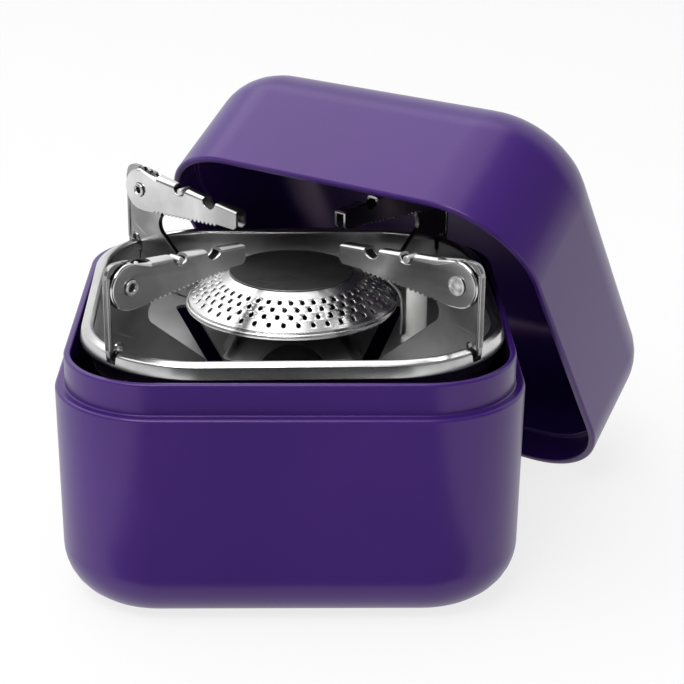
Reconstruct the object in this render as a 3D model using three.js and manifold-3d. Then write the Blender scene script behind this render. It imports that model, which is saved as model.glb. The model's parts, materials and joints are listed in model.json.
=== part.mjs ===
// Folding gas camping stove standing in its two-part storage case, with the lid leaning on it.
// Millimetres, +Z up, front towards -Y. The origin is the centre of the case's resting face.
import * as THREE from 'three';
import { mergeVertices } from 'three/addons/utils/BufferGeometryUtils.js';
import Module from 'manifold-3d';

const wasm = await Module();
wasm.setup();

const degree = Math.PI / 180;

// ---- Clearances ----
const fitGap = 0.3; // between pieces that rest on or pass through each other
const slideGap = 0.35; // between a support plate and each cheek of its arm
const overcut = 1; // how far a cutter reaches past what it cuts
const edgeRound = 0.5; // small rounding of moulded and rolled edges

// ---- Case base ----
const caseWidth = 95;
const caseCorner = 21;
const caseBottomFillet = 11;
const caseDraft = 0.4; // how much narrower each side is at the bottom
const neckStep = 2; // from the body's side in to the neck's side
const neckHeight = 6.6;
const neckWall = 1.4;
const caseFloor = 2;
const panProud = 3.1; // how far the pan's rim stands above the neck
const stoveTurn = 1.3 * degree; // of the loose stove in the case

// ---- Case lid ----
const lidHeadroom = 4.8; // over the supports when the case is closed
const lidTopFillet = 12;
const lidDraft = 0.7;
const lidWall = 2.8;
const lidTopWall = 1.4;
const lidHeading = 54.5 * degree; // where the closed end points, seen from above
const lidPitch = 34.1 * degree; // how far the closed end points up
const lidSideShift = 4.3; // from the lid's middle to the support that it leans on

// ---- Connector, valve and flame control ----
const collarRadius = 10.5;
const collarHeight = 11.9;
const threadRadius = 5.55; // EN 417 valve thread, 7/16 inch
const threadDepth = 6.8;
const collarTaper = 2.5;
const sealHeight = 1.2;
const depressorRadius = 1.2;
const depressorProud = 0.4; // past the seal
const valveRadius = 8;
const valveHeight = 13.7;
const valveBossRadius = 4.5;
const valveBossReach = 13; // from the stove's axis to the boss's end face
const spindleHeight = 9; // above the valve body's bottom
const spindleRadius = 1.6;
const spindleSeat = 2; // from the stove's axis to the inner end of the spindle's bore
const gasBore = 1;
const spindleHeadSize = 5;
const glandNutRadius = 4.6;
const glandNutLength = 3;
const wireRadius = 0.7;
const handleLength = 14;
const handleWidth = 11;
const handleShoulder = 4; // from the hinge to where the wire is widest
const handleElbow = 0.9; // radius of the bend beside the spindle's head
const handleRound = 3; // of the loop's far corners

// ---- Mixing tube and burner ----
const tubeRadius = 4.6;
const tubeBore = 3.6;
const tubeFlangeRadius = 11;
const tubeFlangeThickness = 1.1;
const tubeLength = 22;
const panHeightOnTube = 16; // from the tube's bottom to the pan's floor
const airHoleRadius = 1.7;
const airHoleHeight = 11.5; // above the tube's bottom
const jetRadius = 2.4;
const jetLength = 6;
const jetBore = 0.4;
const pedestalHeight = 4.4;
const pedestalFoot = 29.2; // width at the bottom
const pedestalTop = 21.6; // width at the top
const pedestalSheet = 0.8;
const archRadius = 6.9;
const archSink = 4; // how far the arches' centres lie under the pedestal's foot
const pedestalBend = 3; // radius of its upright corners
const cupSheet = 0.7;
const cupDepth = 1.2;
const cupInset = 0.5; // from the cone's rim
const burnerRadius = 22.6;
const burnerTopRadius = 13.2;
const coneHeight = 7.6;
const coneSheet = 0.6;
const beadHeight = 0.9; // rolled edge at the cone's foot
const beadWidth = 1;
const beadRound = 0.25;
const capThickness = 0.6;

// ---- Pan ----
const panGap = 0.6; // between the pan's rim and the inside of the neck
const panCorner = 25.2;
const panSheet = 0.7;
const panRimHeight = 2.5;
const panRimWidth = 2.5;
const panDepth = 10; // from the rim's top to the floor
const panWallRun = 10.6; // from the rim's outside in to the floor's edge
const panLipRound = 0.4;
const slotSill = 0.2; // metal left under each slot in the rim
const ventWidth = 3.6;
const ventRear = new THREE.Vector2(23.7, 16); // right vent's rear end, the left one is mirrored
const ventFront = new THREE.Vector2(15.8, -16.5);
const screwRadius = 1;
const screwHeadRadius = 1.9;
const screwHeadHeight = 1.1;
const screwLength = 4;
const screwSpread = 8.5; // from the stove's axis

// ---- Pot supports: a fixed plate and a folding channel arm at each corner ----
const plateSheet = 1.2;
const plateOutstand = 0.5; // past the pan's corner
const lobeRadius = 5.2;
const pivotAboveRim = 12.7;
const armLength = 31.2; // from the pivot to the tip
const armSheet = 0.6;
const armTipTop = 1.3; // above the pivot
const armTipDrop = 2.7; // below the pivot
const armTipRound = 0.4;
const armHeelRadius = 4.8;
const webClearance = 0.5; // from the plate's outer edge when the arm is folded out
const notchRadius = 2;
const notchPlace = 13.3; // from the pivot to the first notch
const notchSpacing = 9.3;
const toothPitch = 1.75;
const toothDepth = 0.9;
const toothCount = 12;
const toothStart = 5;
const rivetRadius = 1.4;
const rivetBore = 0.6;
const rivetHeadRadius = 2.3;
const rivetHeadHeight = 0.5;
const rivetHeadEdge = 0.15;
const rivetHeadBevel = 0.4;
const rivetGap = 0.2;
const crossPinRadius = 0.9;
const plateReach = 25.7; // from the outer edge in to the foot's inner end
const plateToe = 1.2; // height of the foot's inner end
const plateBevel = 1;
const hollowRadius = 2.75; // of the dip between the lobe and the slope
const hollowInwards = 7.9; // from the pivot to the dip's centre
const hollowDrop = 7.2;
const tabLength = 5;
const tabInset = 21.5; // from the plate's outer edge to the tab's inner end
const tabProud = 0.6; // under the pan
const plateHoleRadius = 0.7;
const plateHoleInset = 2.4;
const plateHoleHeight = 2.7;

// ---- Igniter ----
const igniterLength = 20;
const igniterWidth = 9.6;
const igniterHeight = 10;
const igniterPlace = 11; // from the stove's axis to the igniter's inner end
const bracketSheet = 0.7;
const bracketWidth = 8;
const buttonRadius = 3.2;
const buttonLength = 8;
const buttonTravel = 4;
const buttonHold = 2; // left in the bore when pressed
const insulatorRadius = 2.25;
const insulatorStandoff = 2.3; // from the cone's foot
const insulatorAngle = -14.1 * degree; // about the stove's axis
const insulatorAbovePan = 14.5;
const insulatorBelowPan = 3.5;
const insulatorBore = 0.8;
const insulatorFlange = 0.9; // width and height of its foot ring
const insulatorFlare = 1.7; // height of the taper above the pan's floor
const insulatorRound = 0.4;
const electrodeRadius = 0.45;
const electrodeRise = 2; // above the insulator
const electrodeReach = 7.8; // from the insulator's axis in to the tip
const electrodeDip = 2.2; // from the bend down to the tip
const leadRadius = 0.8;
const earthStandoff = 0.85; // from the cone's foot
const earthForward = 1; // of the stove's middle
const earthReach = 7.2; // from its post in to its tip
const earthClearance = 1; // over the cone's top
const earthTail = 1.5; // under the pan

// ---- Colours and finishes ----
function finish(color, roughness, metalness) {
  return new THREE.MeshStandardMaterial({ color, roughness, metalness });
}
const purplePlastic = finish(0x3d1f7a, 0.3, 0);
const stainless = finish(0xb9b8b4, 0.3, 1);
const burntSteel = finish(0x77777a, 0.5, 1);
const brass = finish(0xc8a25a, 0.35, 1);
const aluminium = finish(0xa9abae, 0.4, 1);
const blackPlastic = finish(0x17171a, 0.5, 0);
const redPlastic = finish(0xb3201c, 0.4, 0);
const rubber = finish(0x101010, 0.9, 0);
const ceramic = finish(0xf2f0ea, 0.35, 0);

// ---- Heights, stacked from the case's floor ----
const collarBottom = caseFloor + fitGap;
const bracketBottom = collarBottom + collarHeight + fitGap;
const valveBottom = bracketBottom + bracketSheet + fitGap;
const tubeBottom = valveBottom + valveHeight + fitGap;
const panFloorTop = tubeBottom + panHeightOnTube;
const panRimTop = panFloorTop + panDepth;
const neckTop = panRimTop - panProud;
const shoulderHeight = neckTop - neckHeight;
const pedestalBottom = panFloorTop + fitGap;
const cupBottom = pedestalBottom + pedestalHeight + fitGap;
const coneBottom = cupBottom + cupDepth + fitGap;
const coneTop = coneBottom + coneHeight;
const pivotHeight = panRimTop + pivotAboveRim;
const spindleAxis = valveBottom + spindleHeight;
const lidDepth = pivotHeight + lobeRadius + lidHeadroom + lidTopWall - shoulderHeight;

// ---- Widths, from the case's outside in ----
const caseHalf = caseWidth / 2;
const neckHalf = caseHalf - neckStep;
const caseInnerHalf = neckHalf - neckWall;
const panHalf = caseInnerHalf - panGap;
const panFloorHalf = panHalf - panWallRun;
const rimInnerHalf = panHalf - panRimWidth;

// ---- Places beside the burner's foot ----
const insulatorSpread = burnerRadius + insulatorStandoff + insulatorRadius;
const insulatorPlace = new THREE.Vector2(
  insulatorSpread * Math.cos(insulatorAngle),
  insulatorSpread * Math.sin(insulatorAngle),
);
const earthPlace = new THREE.Vector2(burnerRadius + earthStandoff + electrodeRadius, -earthForward);

// ---- Places measured along a corner's diagonal ----
const diagonalShift = (Math.SQRT2 - 1) * (panHalf - panCorner); // added to a half width
const plateOuter = panHalf + diagonalShift + plateOutstand;
const pivotRadial = plateOuter - lobeRadius;
const plateFoot = plateOuter - plateReach;
const tabPlace = plateOuter - tabInset;
const armWidth = plateSheet + 2 * (slideGap + armSheet);
const webStart = lobeRadius + webClearance; // from the pivot

// ---- Solid helpers ----
const cornerSteps = 6; // facets round each corner of the case and pan
const wireSides = 8;

function toSolid(geometry) {
  const bare = new THREE.BufferGeometry();
  bare.setAttribute('position', geometry.getAttribute('position').clone());
  if (geometry.index) bare.setIndex(geometry.index);
  const merged = mergeVertices(bare, 1e-4);
  const corners = Array.from(merged.index.array);
  const kept = [];
  for (let i = 0; i < corners.length; i += 3) {
    const [a, b, c] = corners.slice(i, i + 3);
    if (a !== b && b !== c && c !== a) kept.push(a, b, c);
  }
  return new wasm.Manifold(new wasm.Mesh({
    numProp: 3,
    vertProperties: new Float32Array(merged.attributes.position.array),
    triVerts: new Uint32Array(kept),
  }));
}

function toGeometry(solid) {
  const mesh = solid.getMesh();
  const geometry = new THREE.BufferGeometry();
  geometry.setAttribute('position', new THREE.BufferAttribute(new Float32Array(mesh.vertProperties), 3));
  geometry.setIndex(new THREE.BufferAttribute(new Uint32Array(mesh.triVerts), 1));
  geometry.computeVertexNormals();
  return geometry;
}

// The blank with every cutter taken away and every addition joined first.
function carve(blank, cutters, additions = []) {
  let solid = toSolid(blank);
  for (const addition of additions) solid = solid.add(toSolid(addition));
  for (const cutter of cutters) solid = solid.subtract(toSolid(cutter));
  return toGeometry(solid);
}

// Turned piece: profile of [radius, height] pairs, counter-clockwise, about the Z axis.
function turned(profile, segments = 24) {
  const points = profile.map(([radius, height]) => new THREE.Vector2(radius, height));
  return new THREE.LatheGeometry(points, segments).rotateX(Math.PI / 2);
}

// Turned ring: the profile closes on itself instead of on the axis.
function turnedRing(profile, segments = 24) {
  return turned([...profile, profile[0]], segments);
}

// Round rod between two heights on the Z axis.
function rod(radius, bottom, top, segments = 24) {
  return turned([[0, bottom], [radius, bottom], [radius, top], [0, top]], segments);
}

// Round rod along X, from one x to the other, at a given y and z.
function rodAlongX(radius, from, to, y, z, segments = 24) {
  return rod(radius, from, to, segments).rotateY(Math.PI / 2).translate(0, y, z);
}

// Round rod along Y, from one y to the other, at a given x and z.
function rodAlongY(radius, from, to, x, z, segments = 24) {
  return rod(radius, -to, -from, segments).rotateX(Math.PI / 2).translate(x, 0, z);
}

function block(xFrom, xTo, yFrom, yTo, zFrom, zTo) {
  return new THREE.BoxGeometry(xTo - xFrom, yTo - yFrom, zTo - zFrom)
    .translate((xFrom + xTo) / 2, (yFrom + yTo) / 2, (zFrom + zTo) / 2);
}

// Upright sheet in the XZ plane, centred on y = 0: the shape's y becomes z.
function uprightSheet(shape, thickness) {
  return new THREE.ExtrudeGeometry(shape, { depth: thickness, bevelEnabled: false, curveSegments: 8 })
    .translate(0, 0, -thickness / 2)
    .rotateX(Math.PI / 2);
}

// Rounded square outline at one height, counter-clockwise from above.
function squareRing({ half, corner, z }) {
  const points = [];
  const centre = half - corner;
  for (let quarter = 0; quarter < 4; quarter += 1) {
    const turn = quarter * Math.PI / 2;
    const centreX = centre * Math.SQRT2 * Math.cos(turn + Math.PI / 4);
    const centreY = centre * Math.SQRT2 * Math.sin(turn + Math.PI / 4);
    for (let step = 0; step <= cornerSteps; step += 1) {
      const angle = turn + (step / cornerSteps) * Math.PI / 2;
      points.push([centreX + corner * Math.cos(angle), centreY + corner * Math.sin(angle), z]);
    }
  }
  return points;
}

// Closed solid through rounded-square rings, from its bottom pole out and back to its top pole.
function ringedSolid(rings) {
  const loops = rings.map(squareRing);
  const count = loops[0].length;
  const positions = [[0, 0, rings[0].z], ...loops.flat(), [0, 0, rings[rings.length - 1].z]];
  const last = positions.length - 1;
  const triangles = [];
  const at = (loop, point) => 1 + loop * count + (point % count);
  for (let point = 0; point < count; point += 1) {
    triangles.push(0, at(0, point + 1), at(0, point));
    triangles.push(last, at(loops.length - 1, point), at(loops.length - 1, point + 1));
    for (let loop = 0; loop < loops.length - 1; loop += 1) {
      triangles.push(at(loop, point), at(loop, point + 1), at(loop + 1, point + 1));
      triangles.push(at(loop, point), at(loop + 1, point + 1), at(loop + 1, point));
    }
  }
  const geometry = new THREE.BufferGeometry();
  geometry.setAttribute('position', new THREE.Float32BufferAttribute(positions.flat(), 3));
  geometry.setIndex(triangles);
  geometry.computeVertexNormals();
  return geometry;
}

// Rings of a rounded edge between a flat end and a side wall, from the flat end outwards.
function filletRings(half, corner, radius, endZ, direction, steps = 6) {
  return Array.from({ length: steps + 1 }, (_, step) => {
    const angle = (step / steps) * Math.PI / 2;
    const inset = radius * (1 - Math.sin(angle));
    const height = radius * (1 - Math.cos(angle));
    return { half: half - inset, corner: corner - inset, z: endZ + direction * height };
  });
}

function wire(points, radius, steps) {
  const bends = points.map((point) => new THREE.Vector3(...point));
  const curve = new THREE.CatmullRomCurve3(bends, false, 'centripetal');
  const section = new THREE.Shape();
  section.absarc(0, 0, radius, 0, 2 * Math.PI);
  return new THREE.ExtrudeGeometry(section, { steps, curveSegments: wireSides / 2, extrudePath: curve });
}

// ---- Assembly ----
const outfit = new THREE.Group();
const stove = new THREE.Group();
stove.rotation.z = stoveTurn;
outfit.add(stove);

function add(parent, name, geometry, material) {
  const mesh = new THREE.Mesh(geometry, material);
  mesh.name = name;
  parent.add(mesh);
  return mesh;
}

// ---- Case base: a deep tub with a stepped-in neck that the lid slips over ----
const neckCorner = caseCorner - neckStep;
const caseInnerCorner = neckCorner - neckWall;

function caseBaseGeometry() {
  const innerFillet = caseBottomFillet - caseFloor;
  return ringedSolid([
    ...filletRings(caseHalf - caseDraft, caseCorner - caseDraft, caseBottomFillet, 0, 1),
    { half: caseHalf, corner: caseCorner, z: shoulderHeight - edgeRound },
    { half: caseHalf - edgeRound, corner: caseCorner - edgeRound, z: shoulderHeight },
    { half: neckHalf, corner: neckCorner, z: shoulderHeight },
    { half: neckHalf, corner: neckCorner, z: neckTop - edgeRound },
    { half: neckHalf - edgeRound, corner: neckCorner - edgeRound, z: neckTop },
    { half: caseInnerHalf, corner: caseInnerCorner, z: neckTop },
    ...filletRings(caseInnerHalf, caseInnerCorner, innerFillet, caseFloor, 1).reverse(),
  ]);
}
add(outfit, 'case_base', caseBaseGeometry(), purplePlastic);

// ---- Case lid: a deep cap, turned over and leaning on the rear right support ----
function caseLidGeometry() {
  const recessHalf = neckHalf + slideGap;
  const recessCorner = neckCorner + slideGap;
  const recessDepth = neckHeight + fitGap;
  const topHalf = caseHalf - lidDraft;
  const topCorner = caseCorner - lidDraft;
  const innerHalf = caseHalf - lidWall;
  const innerCorner = caseCorner - lidWall;
  const innerFillet = lidTopFillet - lidTopWall - lidDraft;
  // Built with its closed end down at -lidDepth, then flipped so that it points along +Z.
  return ringedSolid([
    ...filletRings(topHalf, topCorner, lidTopFillet, -lidDepth, 1),
    { half: caseHalf, corner: caseCorner, z: -edgeRound },
    { half: caseHalf - edgeRound, corner: caseCorner - edgeRound, z: 0 },
    { half: recessHalf, corner: recessCorner, z: 0 },
    { half: recessHalf, corner: recessCorner, z: -recessDepth },
    { half: innerHalf, corner: innerCorner, z: -recessDepth },
    ...filletRings(innerHalf, innerCorner, innerFillet, lidTopWall - lidDepth, 1).reverse(),
  ]).rotateX(Math.PI);
}

// The lower rim edge stands on the table and the closed end's inside touches the support's lobe.
function lidPlace() {
  const supportAngle = 45 * degree + stoveTurn;
  const offDiagonal = lidHeading - supportAngle;
  const lobeReach = lobeRadius * Math.hypot(Math.cos(lidPitch) * Math.cos(offDiagonal), Math.sin(lidPitch))
    + (armWidth / 2) * Math.cos(lidPitch) * Math.abs(Math.sin(offDiagonal));
  const pivotDepth = lidDepth - lidTopWall - fitGap - lobeReach;
  const centreHeight = caseHalf * Math.cos(lidPitch);
  const pivotDrop = (centreHeight - pivotHeight + Math.sin(lidPitch) * pivotDepth) / Math.cos(lidPitch);
  const sideways = new THREE.Vector3(Math.sin(lidHeading), -Math.cos(lidHeading), 0);
  const downwards = new THREE.Vector3(
    Math.sin(lidPitch) * Math.cos(lidHeading),
    Math.sin(lidPitch) * Math.sin(lidHeading),
    -Math.cos(lidPitch),
  );
  const inwards = new THREE.Vector3().crossVectors(sideways, downwards);
  return new THREE.Vector3(pivotRadial, 0, pivotHeight)
    .applyAxisAngle(new THREE.Vector3(0, 0, 1), supportAngle)
    .addScaledVector(sideways, -lidSideShift)
    .addScaledVector(downwards, -pivotDrop)
    .addScaledVector(inwards, -pivotDepth);
}
const lid = add(outfit, 'case_lid', caseLidGeometry(), purplePlastic);
lid.position.copy(lidPlace());
lid.rotation.set(lidPitch - Math.PI / 2, 0, lidHeading - Math.PI / 2, 'ZXY');

// ---- Pan: a square dish that carries the supports and shields the flame ----
const wallSteps = 6;

// Half width and height along the inside of the pan's wall, from the floor up to the rim.
function panWallPoint(share) {
  const curve = new THREE.QuadraticBezierCurve(
    new THREE.Vector2(panFloorHalf, panFloorTop),
    new THREE.Vector2(rimInnerHalf - panLipRound, panFloorTop),
    new THREE.Vector2(rimInnerHalf, panRimTop - panLipRound),
  );
  return curve.getPoint(share);
}

function panRing(half, z) {
  return { half, corner: panCorner - (panHalf - half), z };
}

const rimBottom = panRimTop - panRimHeight;
const rimSlotBottom = rimBottom + slotSill;

function panGeometry() {
  const inside = Array.from({ length: wallSteps + 1 }, (_, step) => panWallPoint(step / wallSteps));
  const slant = panSheet * Math.SQRT1_2; // the sheet's thickness, split between out and down
  const outside = inside.slice(1)
    .filter((point) => point.y + panSheet / 2 < rimBottom)
    .map((point) => panRing(point.x + slant, point.y - slant));
  const blank = ringedSolid([
    panRing(panFloorHalf, panFloorTop - panSheet),
    ...outside,
    panRing(rimInnerHalf + panSheet, rimBottom),
    panRing(panHalf - edgeRound, rimBottom),
    panRing(panHalf, rimBottom + edgeRound),
    panRing(panHalf, panRimTop - edgeRound),
    panRing(panHalf - edgeRound, panRimTop),
    panRing(rimInnerHalf + edgeRound, panRimTop),
    ...inside.map((point) => panRing(point.x, point.y)).reverse(),
  ]);
  const below = panFloorTop - panSheet - overcut;
  const above = panFloorTop + overcut;
  const cutters = [
    rod(tubeRadius + fitGap, below, above),
    rod(insulatorRadius + fitGap, below, above, 16).translate(insulatorPlace.x, insulatorPlace.y, 0),
    rod(electrodeRadius + fitGap, below, above, 12).translate(earthPlace.x, earthPlace.y, 0),
  ];
  for (const side of [-1, 1]) {
    const run = new THREE.Vector2().subVectors(ventRear, ventFront);
    const middle = new THREE.Vector2().addVectors(ventRear, ventFront).multiplyScalar(0.5);
    const vent = block(-run.length() / 2, run.length() / 2, -ventWidth / 2, ventWidth / 2, below, above)
      .rotateZ(side * run.angle() + (side < 0 ? Math.PI : 0))
      .translate(side * middle.x, middle.y, 0);
    cutters.push(vent);
    for (const end of [ventRear, ventFront]) {
      cutters.push(rod(ventWidth / 2, below, above, 16).translate(side * end.x, end.y, 0));
    }
  }
  for (let corner = 0; corner < 4; corner += 1) {
    const angle = (corner + 0.5) * Math.PI / 2;
    const slotHalf = plateSheet / 2 + fitGap;
    const slotInner = rimInnerHalf + diagonalShift - 2 * overcut;
    const slotOuter = plateOuter + 2 * overcut;
    const rimSlot = block(slotInner, slotOuter, -slotHalf, slotHalf, rimSlotBottom, panRimTop + overcut);
    const tabEnd = tabPlace + tabLength + fitGap;
    const tabSlot = block(tabPlace - fitGap, tabEnd, -slotHalf, slotHalf, below, above);
    const screwHole = rod(screwRadius + fitGap, below, above, 12).translate(screwSpread, 0, 0);
    for (const cutter of [rimSlot, tabSlot, screwHole]) cutters.push(cutter.rotateZ(angle));
  }
  return carve(blank, cutters);
}
add(stove, 'wind_pan', panGeometry(), stainless);

// ---- Pot supports ----
// Height of the arm's top edge above the pivot, at a distance from the pivot.
function armTop(distance) {
  return armHeelRadius + (armTipTop - armHeelRadius) * (distance / armLength);
}

function armBottom(distance) {
  return -armHeelRadius + (armHeelRadius - armTipDrop) * (distance / armLength);
}

// Side view of the arm, folded in: the stove's middle is towards -X, the pivot is the origin.
function armOutline() {
  const shape = new THREE.Shape();
  shape.moveTo(0, armHeelRadius);
  shape.lineTo(-armLength + armTipRound, armTop(armLength - armTipRound));
  shape.lineTo(-armLength, armTipTop - armTipRound);
  shape.lineTo(-armLength, 2 * armTipRound - armTipDrop);
  shape.lineTo(2 * armTipRound - armLength, -armTipDrop);
  for (let tooth = toothCount; tooth > 0; tooth -= 1) {
    const root = toothStart + tooth * toothPitch;
    const tip = root - toothPitch / 2;
    shape.lineTo(-root, armBottom(root) + toothDepth);
    shape.lineTo(-tip, armBottom(tip));
  }
  shape.lineTo(-toothStart, armBottom(toothStart) + toothDepth);
  shape.lineTo(-toothStart + toothPitch / 2, armBottom(toothStart));
  shape.lineTo(0, -armHeelRadius);
  shape.absarc(0, 0, armHeelRadius, -Math.PI / 2, Math.PI / 2);
  return shape;
}

const notchPlaces = [notchPlace, notchPlace + notchSpacing];

function armGeometry() {
  const reach = armLength + armHeelRadius;
  const groove = new THREE.Shape([
    new THREE.Vector2(-reach, armTop(reach) - armSheet),
    new THREE.Vector2(-reach, -reach),
    new THREE.Vector2(-webStart / 2, -reach),
    new THREE.Vector2(-webStart / 2, armTop(webStart / 2) - armSheet),
  ]);
  const grooveWidth = plateSheet + 2 * slideGap;
  const heelGap = block(-webStart, reach, -grooveWidth / 2, grooveWidth / 2, -reach, reach);
  const cutters = [
    uprightSheet(groove, grooveWidth),
    heelGap,
    rodAlongY(rivetRadius + fitGap, -armWidth, armWidth, 0, 0, 12),
    ...notchPlaces.map((place) => rodAlongY(notchRadius, -armWidth, armWidth, -place, armTop(place), 12)),
  ];
  return carve(uprightSheet(armOutline(), armWidth), cutters);
}

// Side view of the plate, in distance from the stove's axis and height.
function plateOutline() {
  const floorLine = panFloorTop + fitGap;
  const hookBottom = rimSlotBottom + fitGap;
  const tabBottom = panFloorTop - panSheet - fitGap - tabProud;
  const wallGap = fitGap * Math.SQRT2;
  const hollow = new THREE.Vector2(pivotRadial - hollowInwards, pivotHeight - hollowDrop);
  const lobeEnd = 200 * degree;
  const slope = 45 * degree;
  const shape = new THREE.Shape();
  shape.moveTo(plateFoot, floorLine);
  shape.lineTo(tabPlace, floorLine);
  shape.lineTo(tabPlace, tabBottom);
  shape.lineTo(tabPlace + tabLength, tabBottom);
  shape.lineTo(tabPlace + tabLength, floorLine);
  for (let step = 0; step <= wallSteps; step += 1) {
    const point = panWallPoint(step / wallSteps);
    if (point.y + 2 * wallGap < hookBottom) {
      shape.lineTo(point.x + diagonalShift - wallGap, point.y + wallGap);
    }
  }
  shape.lineTo(rimInnerHalf + diagonalShift - 2 * wallGap, hookBottom);
  shape.lineTo(plateOuter - plateBevel, hookBottom);
  shape.lineTo(plateOuter, hookBottom + plateBevel);
  shape.lineTo(plateOuter, pivotHeight);
  shape.absarc(pivotRadial, pivotHeight, lobeRadius, 0, lobeEnd);
  shape.absarc(hollow.x, hollow.y, hollowRadius, slope, -slope, true);
  shape.lineTo(plateFoot, floorLine + plateToe);
  shape.closePath();
  for (const [x, y, radius] of [
    [pivotRadial, pivotHeight, rivetRadius + fitGap],
    [plateOuter - plateHoleInset, hookBottom + plateHoleHeight, plateHoleRadius],
  ]) {
    const hole = new THREE.Path();
    hole.absarc(x, y, radius, 0, 2 * Math.PI);
    shape.holes.push(hole);
  }
  return shape;
}

// Tubular rivet across the arm, its axis along Y.
function rivetGeometry() {
  const inner = armWidth / 2 + rivetGap;
  const outer = inner + rivetHeadHeight;
  const head = [
    [rivetRadius, inner], [rivetHeadRadius, inner], [rivetHeadRadius, inner + rivetHeadEdge],
    [rivetHeadRadius - rivetHeadBevel, outer], [rivetBore, outer],
  ];
  const otherHead = head.map(([radius, reach]) => [radius, -reach]).reverse();
  return turnedRing([...otherHead, ...head], 12).rotateX(Math.PI / 2);
}

const corners = [
  ['rear_right', 45],
  ['rear_left', 135],
  ['front_left', 225],
  ['front_right', 315],
];
for (const [corner, angle] of corners) {
  const support = new THREE.Group();
  support.rotation.z = angle * degree;
  stove.add(support);
  add(support, `support_plate_${corner}`, uprightSheet(plateOutline(), plateSheet), stainless);
  const pivot = new THREE.Group();
  pivot.position.set(pivotRadial, 0, pivotHeight);
  support.add(pivot);
  add(pivot, `pivot_rivet_${corner}`, rivetGeometry(), stainless);
  add(pivot, `pot_arm_${corner}`, armGeometry(), stainless);
  const pinHeight = armTop(notchPlace) - notchRadius + crossPinRadius + rivetGap;
  const pin = rodAlongY(crossPinRadius, -armWidth / 2, armWidth / 2, -notchPlace, pinHeight, 12);
  add(pivot, `cross_pin_${corner}`, pin, stainless);
}

// ---- Burner ----
function pedestalGeometry() {
  const footHalf = pedestalFoot / 2;
  const topHalf = pedestalTop / 2;
  const top = pedestalBottom + pedestalHeight;
  const lean = (footHalf - topHalf) / pedestalHeight; // how much wider per unit of height, downwards
  const blank = ringedSolid([
    { half: footHalf, corner: pedestalBend, z: pedestalBottom },
    { half: topHalf, corner: pedestalBend, z: top },
  ]);
  const innerBend = pedestalBend - pedestalSheet;
  const hollow = ringedSolid([
    { half: footHalf - pedestalSheet + lean * overcut, corner: innerBend, z: pedestalBottom - overcut },
    { half: topHalf - pedestalSheet + lean * pedestalSheet, corner: innerBend, z: top - pedestalSheet },
  ]);
  const archHeight = pedestalBottom - archSink;
  const archEnd = footHalf + overcut;
  return carve(blank, [
    hollow,
    rod(tubeRadius + fitGap, pedestalBottom, top + overcut),
    rodAlongY(archRadius, -archEnd, archEnd, 0, archHeight),
    rodAlongX(archRadius, -archEnd, archEnd, 0, archHeight),
  ]);
}
add(stove, 'burner_pedestal', pedestalGeometry(), stainless);

function cupGeometry() {
  const bore = tubeRadius + fitGap;
  const rim = burnerRadius - cupInset;
  return turnedRing([
    [bore, cupBottom], [burnerTopRadius, cupBottom], [rim, cupBottom + cupDepth - cupSheet],
    [rim, cupBottom + cupDepth], [burnerTopRadius, cupBottom + cupSheet], [bore, cupBottom + cupSheet],
  ], 40);
}
add(stove, 'burner_cup', cupGeometry(), burntSteel);

function coneGeometry() {
  const beadInner = burnerRadius - beadWidth;
  const beadEdge = burnerRadius - beadRound;
  const topInner = burnerTopRadius - coneSheet;
  return turnedRing([
    [beadInner, coneBottom], [beadEdge, coneBottom], [burnerRadius, coneBottom + beadHeight / 2],
    [beadEdge, coneBottom + beadHeight], [burnerTopRadius, coneTop], [topInner, coneTop],
    [topInner, coneTop - coneSheet], [beadInner - beadRound, coneBottom + coneSheet],
  ], 40);
}
add(stove, 'burner_cone', coneGeometry(), stainless);

const capRadius = burnerTopRadius - coneSheet - fitGap;
add(stove, 'burner_cap', rod(capRadius, coneTop - capThickness, coneTop, 40), burntSteel);

function mixingTubeGeometry() {
  const flangeTop = panFloorTop - panSheet - fitGap;
  const flangeBottom = flangeTop - tubeFlangeThickness;
  const tubeTop = tubeBottom + tubeLength;
  const blank = turnedRing([
    [tubeBore, tubeBottom], [tubeRadius, tubeBottom], [tubeRadius, flangeBottom],
    [tubeFlangeRadius, flangeBottom], [tubeFlangeRadius, flangeTop], [tubeRadius, flangeTop],
    [tubeRadius, tubeTop], [tubeBore, tubeTop],
  ], 20);
  const holeHeight = tubeBottom + airHoleHeight;
  const holeEnd = tubeRadius + overcut;
  const cutters = [
    rodAlongX(airHoleRadius, -holeEnd, holeEnd, 0, holeHeight, 16),
    rodAlongY(airHoleRadius, -holeEnd, holeEnd, 0, holeHeight, 16),
  ];
  for (let corner = 0; corner < 4; corner += 1) {
    const hole = rod(screwRadius + fitGap, flangeBottom - overcut, flangeTop + overcut, 12);
    cutters.push(hole.translate(screwSpread, 0, 0).rotateZ((corner + 0.5) * Math.PI / 2));
  }
  return carve(blank, cutters);
}
add(stove, 'mixing_tube', mixingTubeGeometry(), aluminium);

// A hexagon-sized foot below a narrower nose.
function jetGeometry() {
  const bottom = tubeBottom + fitGap;
  const top = bottom + jetLength;
  const noseRadius = jetRadius * 0.6;
  return turnedRing([
    [jetBore, bottom], [jetRadius, bottom], [jetRadius, bottom + jetLength / 2],
    [noseRadius, bottom + jetLength * 0.6], [noseRadius, top], [jetBore, top],
  ], 12);
}
add(stove, 'gas_jet', jetGeometry(), brass);

for (let corner = 0; corner < 4; corner += 1) {
  const headBottom = panFloorTop + fitGap;
  const screw = turned([
    [0, headBottom - screwLength], [screwRadius, headBottom - screwLength], [screwRadius, headBottom],
    [screwHeadRadius, headBottom], [screwHeadRadius * 0.8, headBottom + screwHeadHeight],
    [0, headBottom + screwHeadHeight],
  ], 12).translate(screwSpread, 0, 0);
  add(stove, `pan_screw_${corner + 1}`, screw.rotateZ((corner + 0.5) * Math.PI / 2), stainless);
}

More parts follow.
